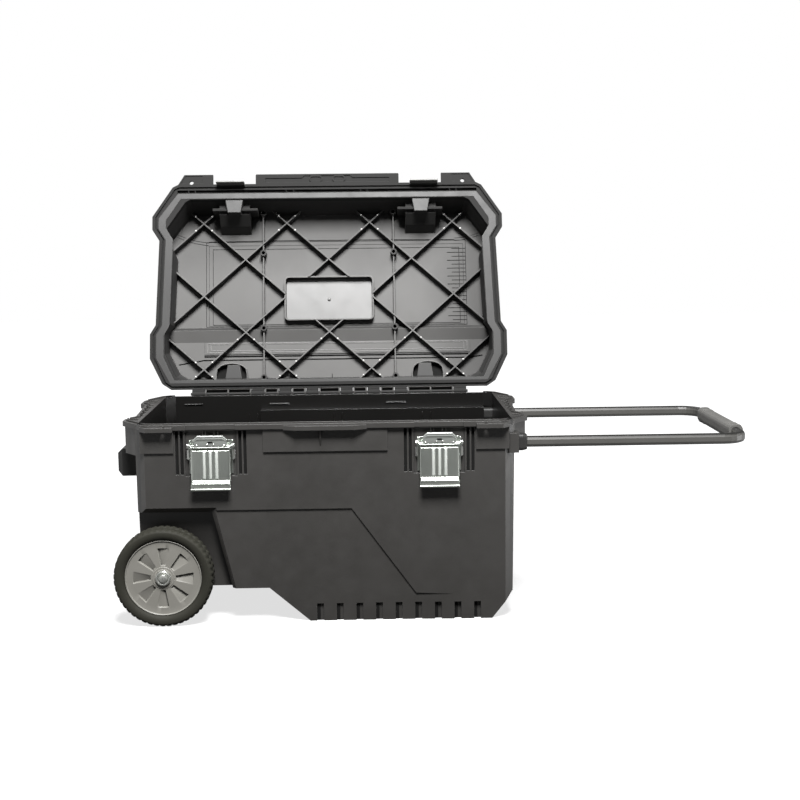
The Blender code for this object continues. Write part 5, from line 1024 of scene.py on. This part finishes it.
def rim_and_shade_zone(tree):
    """A mask where the lid's painted sheen gives way.

    On walls, rib sides and the roof's front and right it gives painted shade; on the rim it gives the
    plastic's own dark tone.
    """
    place = node_of(tree, "TexCoord")
    back = HINGE - Matrix.Rotation(OPEN, 3, "X") @ HINGE
    closed = node_of(tree, "Mapping", Location=back, Rotation=(OPEN, 0, 0))
    link(tree, (place, "Object"), (closed, "Vector"))
    split = node_of(tree, "SeparateXYZ")
    link(tree, (closed, "Vector"), (split, 0))
    masks = []
    # Along the closed lid: towards its front, towards its right end, below the rib crests, on the rim
    for axis, none, full, most in (
        ("Y", -0.030, -0.170, 0.50),
        ("X", 0.200, 0.330, 0.55),
        ("Z", 0.4215, 0.4205, 0.80),
        ("Z", 0.3800, 0.3785, 1.0),
    ):
        mask = node_of(tree, "MapRange", From_Min=none, From_Max=full, To_Max=most)
        link(tree, (split, axis), (mask, "Value"))
        masks.append(mask)
    mouth = Matrix.Rotation(-OPEN, 3, "X") @ Vector((0, 0, -1))
    facing = node_of(tree, "VectorMath", operation="DOT_PRODUCT")
    facing.inputs[1].default_value = mouth
    link(tree, (place, "Normal"), (facing, 0))
    aside = node_of(tree, "MapRange", From_Min=0.95, From_Max=0.85, To_Max=0.70)
    link(tree, (facing, "Value"), (aside, "Value"))
    return joined(tree, "MAXIMUM", [*masks, aside])


# The lid's pale tone is painted sheen; its light edges paint the highlight along the rib crests.
lid_plastic_painted_sheen = moulded(
    "lid_plastic_painted_sheen",
    (0.076, 0.0745, 0.0725),
    (0.100, 0.0985, 0.0960),
    (0.32, 0.317, 0.31),
    (0.42, 0.50),
    bump=0.05,
    radius=0.0008,
    gloss=0.2,
    zone=rim_and_shade_zone,
    zone_tone=0.17,
    zone_rough=0.80,
)
dress(["lid_shell"], lid_plastic_painted_sheen)

# Hinge rod and keepers. A plain steel rod runs through the loops of lid and tub; it is painted near
# black as the shade between them. Each keeper is a zinc plate riveted to the lid's front edge, painted
# a flat grey in place of its reflection.
rod_painted_shade = moulded(
    "rod_painted_shade",
    (0.010, 0.0098, 0.0095),
    (0.016, 0.0157, 0.015),
    (0.03, 0.03, 0.029),
    (0.6, 0.7),
    gloss=0.3,
)
dress(["hinge_rod"], rod_painted_shade)
keeper_painted_reflection = moulded(
    "keeper_painted_reflection",
    (0.12, 0.12, 0.115),
    (0.17, 0.17, 0.162),
    (0.4, 0.4, 0.39),
    (0.35, 0.45),
    bump=0.05,
    gloss=0.6,
)
keeper_names = []
for word in ("left", "right"):
    keeper_names += [f"{word}_latch_keeper", f"{word}_keeper_rivet_left", f"{word}_keeper_rivet_right"]
dress(keeper_names, keeper_painted_reflection)

# Raised lines of the lid's roof, moulded with it: frames within the rib lattice, curved lines towards
# the corners and a comb of short strokes at the right. They are matt and painted near black as the
# shade that falls along them.
ROOF_SUNK = ROOF + 0.0003
LINE_HALF = 0.0006


def roof_line(mesh, points, half=LINE_HALF, tall=0.0008, foot=ROOF_SUNK):
    """A raised line on the roof through plan points, each (across, forward of the hinge)."""
    for start, end in zip(points, points[1:]):
        bar_into(mesh, on_lid, start, end, half, foot, ROOF - tall, 0.5)


def roof_frame(mesh, left, right, near, far, *sizes):
    """A raised rectangle on the roof; its sizes are those of a roof line."""
    corners = ((left, near), (right, near), (right, far), (left, far), (left, near))
    roof_line(mesh, corners, *sizes)


mesh = bmesh.new()
roof_frame(mesh, -0.2658, 0.2986, 0.1555, 0.3430)
roof_frame(mesh, -0.2514, 0.2841, 0.1600, 0.3270)
roof_frame(mesh, -0.2600, 0.2930, 0.1575, 0.3350, 0.0004, 0.0005)
left_curve = ((-0.3300, 0.3560), (-0.3120, 0.3480), (-0.2900, 0.3410), (-0.2606, 0.3360))
right_curve = ((0.3280, 0.3530), (0.3100, 0.3470), (0.2900, 0.3430), (0.2750, 0.3420))
for curve, apart in ((left_curve, 0.0060), (right_curve, 0.0055)):
    roof_line(mesh, curve)
    roof_line(mesh, [(x, forward + apart) for x, forward in curve])
roof_line(mesh, ((-0.2606, 0.3440), (-0.1200, 0.3455), (0.1200, 0.3455), (0.2750, 0.3440)), 0.0009, 0.0011)
comb, comb_pitch = 0.2980, 0.0088
for step in range(19):
    forward = 0.1660 + comb_pitch * step
    long = 0.0400 if step % 2 else 0.0300
    roof_line(mesh, ((comb, forward), (comb - long, forward)), 0.0007, 0.0010)
made("lid_roof_lines", mesh, painted_shade_plastic, "lid")

# Roof panel and step. Behind the rear cross rib the lid's moulding rises to a shallow plate with
# bevelled edges and a double frame of its own, and two taller lines step down towards the hinge.
PANEL_TALL = 0.0019
left, right, near, far = -0.2700, 0.3040, 0.0943, 0.1214
mesh = bmesh.new()
rings = []
for z, inset in ((ROOF_SUNK, 0.0), (ROOF - 0.0018, 0.0004), (ROOF - 0.0022, 0.0010)):
    low, high = near + inset, far - inset
    spots = ((left + inset, low), (right - inset, low), (right - inset, high), (left + inset, high))
    rings.append([on_lid(x, forward, z) for x, forward in spots])
loft_into(mesh, rings)
for frame_sides in ((-0.2558, 0.2900, 0.1030, 0.1170), (-0.2630, 0.2970, 0.0990, 0.1190)):
    roof_frame(mesh, *frame_sides, LINE_HALF, 0.0030, ROOF - PANEL_TALL)
made("lid_roof_panel", mesh, lid_plastic_painted_sheen, "lid")

# The two step lines are painted near black as the shade under the step.
mesh = bmesh.new()
roof_line(mesh, ((-0.2700, 0.0915), (0.3040, 0.0915)), 0.0011, 0.0030)
roof_line(mesh, ((-0.3250, 0.0745), (-0.2700, 0.0835), (0.3040, 0.0835), (0.3300, 0.0880)), 0.0009, 0.0024)
made("lid_roof_step", mesh, painted_shade_plastic, "lid")

# Ejector studs. Small round glossy marks on the crests of the lid's ribs, a little way from where they
# cross, left by the pins that push the moulding out of its mould. Their pale grey is a painted
# highlight.
stud_painted_highlight = moulded(
    "stud_painted_highlight",
    (0.42, 0.415, 0.405),
    (0.52, 0.515, 0.50),
    (0.6, 0.6, 0.59),
    (0.3, 0.4),
    gloss=0.8,
)
RIB_PITCH = 0.1795
RIB_CREST = ROOF - 0.020
RIB_REACH = 0.29
STUD_RADIUS = 0.0022
STUD_OFF_X, STUD_OFF_Y = 0.0176, 0.0157
mesh = bmesh.new()
# Distance of the cross rib forward of the hinge, shift of its crossings in pitches, and sides with studs
for row, shift, signs in ((0.060, 0.5, (-1, 1)), (0.140, 0.0, (-1,)), (0.380, 0.5, (-1, 1))):
    for i in range(-2, 3):
        x = (i + shift) * RIB_PITCH
        if abs(x) > RIB_REACH:
            continue
        for sign in signs:
            for way in (-1, 1):
                spot = on_lid(x + way * STUD_OFF_X, row + sign * STUD_OFF_Y, RIB_CREST)
                place = Matrix.Translation(spot)
                bmesh.ops.create_uvsphere(
                    mesh, u_segments=12, v_segments=8, radius=STUD_RADIUS, matrix=place
                )
made("lid_rib_studs", mesh, stud_painted_highlight, "lid", smooth=60)

# Webs and tabs of the lid's rim, all moulded with it. Short webs stand on the front and rear rim, just
# inside the groove; an arch stiffens the roof behind each rear tab, and a near-black plate paints the
# shade in the hollow under it.
WEB_HALF = 0.0008
WEB_CREST = 0.8
mesh = bmesh.new()
for x in (-0.296, -0.282, -0.088, -0.072, 0.071, 0.085, 0.262, 0.276):
    bar_into(mesh, on_lid, (x, 0.4195), (x, 0.4400), WEB_HALF, 0.3735, 0.3668, WEB_CREST)
for x in (-0.085, 0.006, 0.092):
    bar_into(mesh, on_lid, (x, 0.0235), (x, 0.0400), WEB_HALF, 0.3760, 0.3680, WEB_CREST)
made("lid_rim_webs", mesh, lid_plastic_painted_sheen, "lid")


def plate_into(mesh, outline, back, face):
    """A flat plate on the closed lid, from a plan outline and the levels of its back and face."""
    loft_into(mesh, [[on_lid(x, forward, z) for x, forward in outline] for z in (back, face)])


def tab_arch(side, half, tall):
    """Plan points of the arch behind a rear tab, with its two straight feet."""
    middle = side * 0.2107
    foot, spring = 0.0300, 0.0500
    arch = [(middle + half, foot)]
    for i in range(9):
        angle = math.pi * i / 8
        arch.append((middle + half * math.cos(angle), spring + tall * math.sin(angle) ** 0.7))
    return [*arch, (middle - half, foot)]


mesh = bmesh.new()
for side in (-1, 1):
    points = tab_arch(side, 0.0333, 0.0238)
    for start, end in zip(points, points[1:]):
        bar_into(mesh, on_lid, start, end, 0.0012, ROOF_SUNK, ROOF - 0.0150, 0.7)
made("lid_tab_arches", mesh, lid_plastic_painted_sheen, "lid")

mesh = bmesh.new()
for side in (-1, 1):
    plate_into(mesh, tab_arch(side, 0.0325, 0.0230), ROOF + 0.0002, ROOF - 0.0010)
made("lid_tab_hollow_shade", mesh, painted_shade_plastic, "lid")

# Rim bands. The lid's rim carries a smooth flat band round the mouth, moulded with it and inside the
# seal groove. The front and rear lock tabs have smooth faces of the same kind.
band_plastic = moulded(
    "band_plastic",
    (0.017, 0.0167, 0.0162),
    (0.027, 0.0265, 0.0257),
    (0.16, 0.157, 0.152),
    (0.42, 0.52),
    bump=0.10,
    radius=0.0006,
    gloss=0.35,
)
BAND_LOW, BAND_HIGH = 0.3668, 0.36635
# Place across, near edge and half its width, far edge and half its width, back and face of each tab
LOCK_TABS = (
    (0.1995, 0.3915, 0.0132, 0.4240, 0.0188, 0.3704, 0.3699),
    (0.2030, 0.0360, 0.0168, 0.0632, 0.0120, 0.3893, 0.3887),
)


def rim_path(side, front, rear):
    """The lid's outline, set in by the given amounts at its sides, front and rear."""
    half = (
        (0.330 - 0.55 * front, 0.452 - front),
        (0.373 - side, 0.382 - 0.29 * side),
        (0.373 - side, 0.354 + 0.1 * side),
        (0.358 - side, 0.330 + 0.1 * side),
        (0.365 - side, 0.148 - 0.1 * side),
        (0.377 - side, 0.128 - 0.1 * side),
        (0.377 - side, 0.076 + 0.1 * side),
        (0.345 - 0.6 * rear - 0.3 * side, 0.011 + rear),
    )
    return [*half, *[(-x, forward) for x, forward in reversed(half)]]


mesh = bmesh.new()
outer = rim_path(0.0135, 0.0205, 0.0120)
inner = rim_path(0.0285, 0.0312, 0.0180)
rings = []
for outline, z in ((outer, BAND_LOW), (outer, BAND_HIGH), (inner, BAND_HIGH), (inner, BAND_LOW)):
    rings.append([on_lid(x, forward, z) for x, forward in outline])
wrap_into(mesh, rings)
for side in (-1, 1):
    for across, near, near_half, far, far_half, back, face in LOCK_TABS:
        middle = side * across
        tab = [(middle - near_half, near), (middle + near_half, near)]
        tab += [(middle + far_half, far), (middle - far_half, far)]
        plate_into(mesh, tab, back, face)
made("lid_rim_bands", mesh, band_plastic, "lid")

# Centre plate. A smooth plate with rounded corners, moulded on the middle of the lid's roof, blank and
# glossier than the rest, and painted paler as its sheen. The round stub of the mould's gate stands in it.
plate_painted_sheen = moulded(
    "plate_painted_sheen",
    (0.058, 0.057, 0.0553),
    (0.098, 0.0965, 0.094),
    (0.20, 0.196, 0.19),
    (0.42, 0.52),
    bump=0.05,
    gloss=0.8,
)
PLATE_HALF = 0.0855
PLATE_NEAR, PLATE_FAR = 0.1772, 0.2515
PLATE_CORNER = 0.0068
corners = (
    (PLATE_HALF, PLATE_FAR),
    (-PLATE_HALF, PLATE_FAR),
    (-PLATE_HALF, PLATE_NEAR),
    (PLATE_HALF, PLATE_NEAR),
)
outline = []
for quarter, (x, forward) in enumerate(corners):
    for i in range(5):
        angle = math.pi / 2 * (quarter + i / 4)
        outline.append((x + PLATE_CORNER * math.cos(angle), forward + PLATE_CORNER * math.sin(angle)))
mesh = bmesh.new()
plate_into(mesh, outline, ROOF + 0.0002, ROOF - 0.0006)
place = Matrix.Translation(on_lid(0, 0.2143, ROOF - 0.0024)) @ SWING.to_3x3().to_4x4()
bmesh.ops.create_cone(
    mesh, cap_ends=True, segments=20, radius1=0.0022, radius2=0.0034, depth=0.0036, matrix=place
)
made("lid_centre_plate", mesh, plate_painted_sheen, "lid", smooth=30)
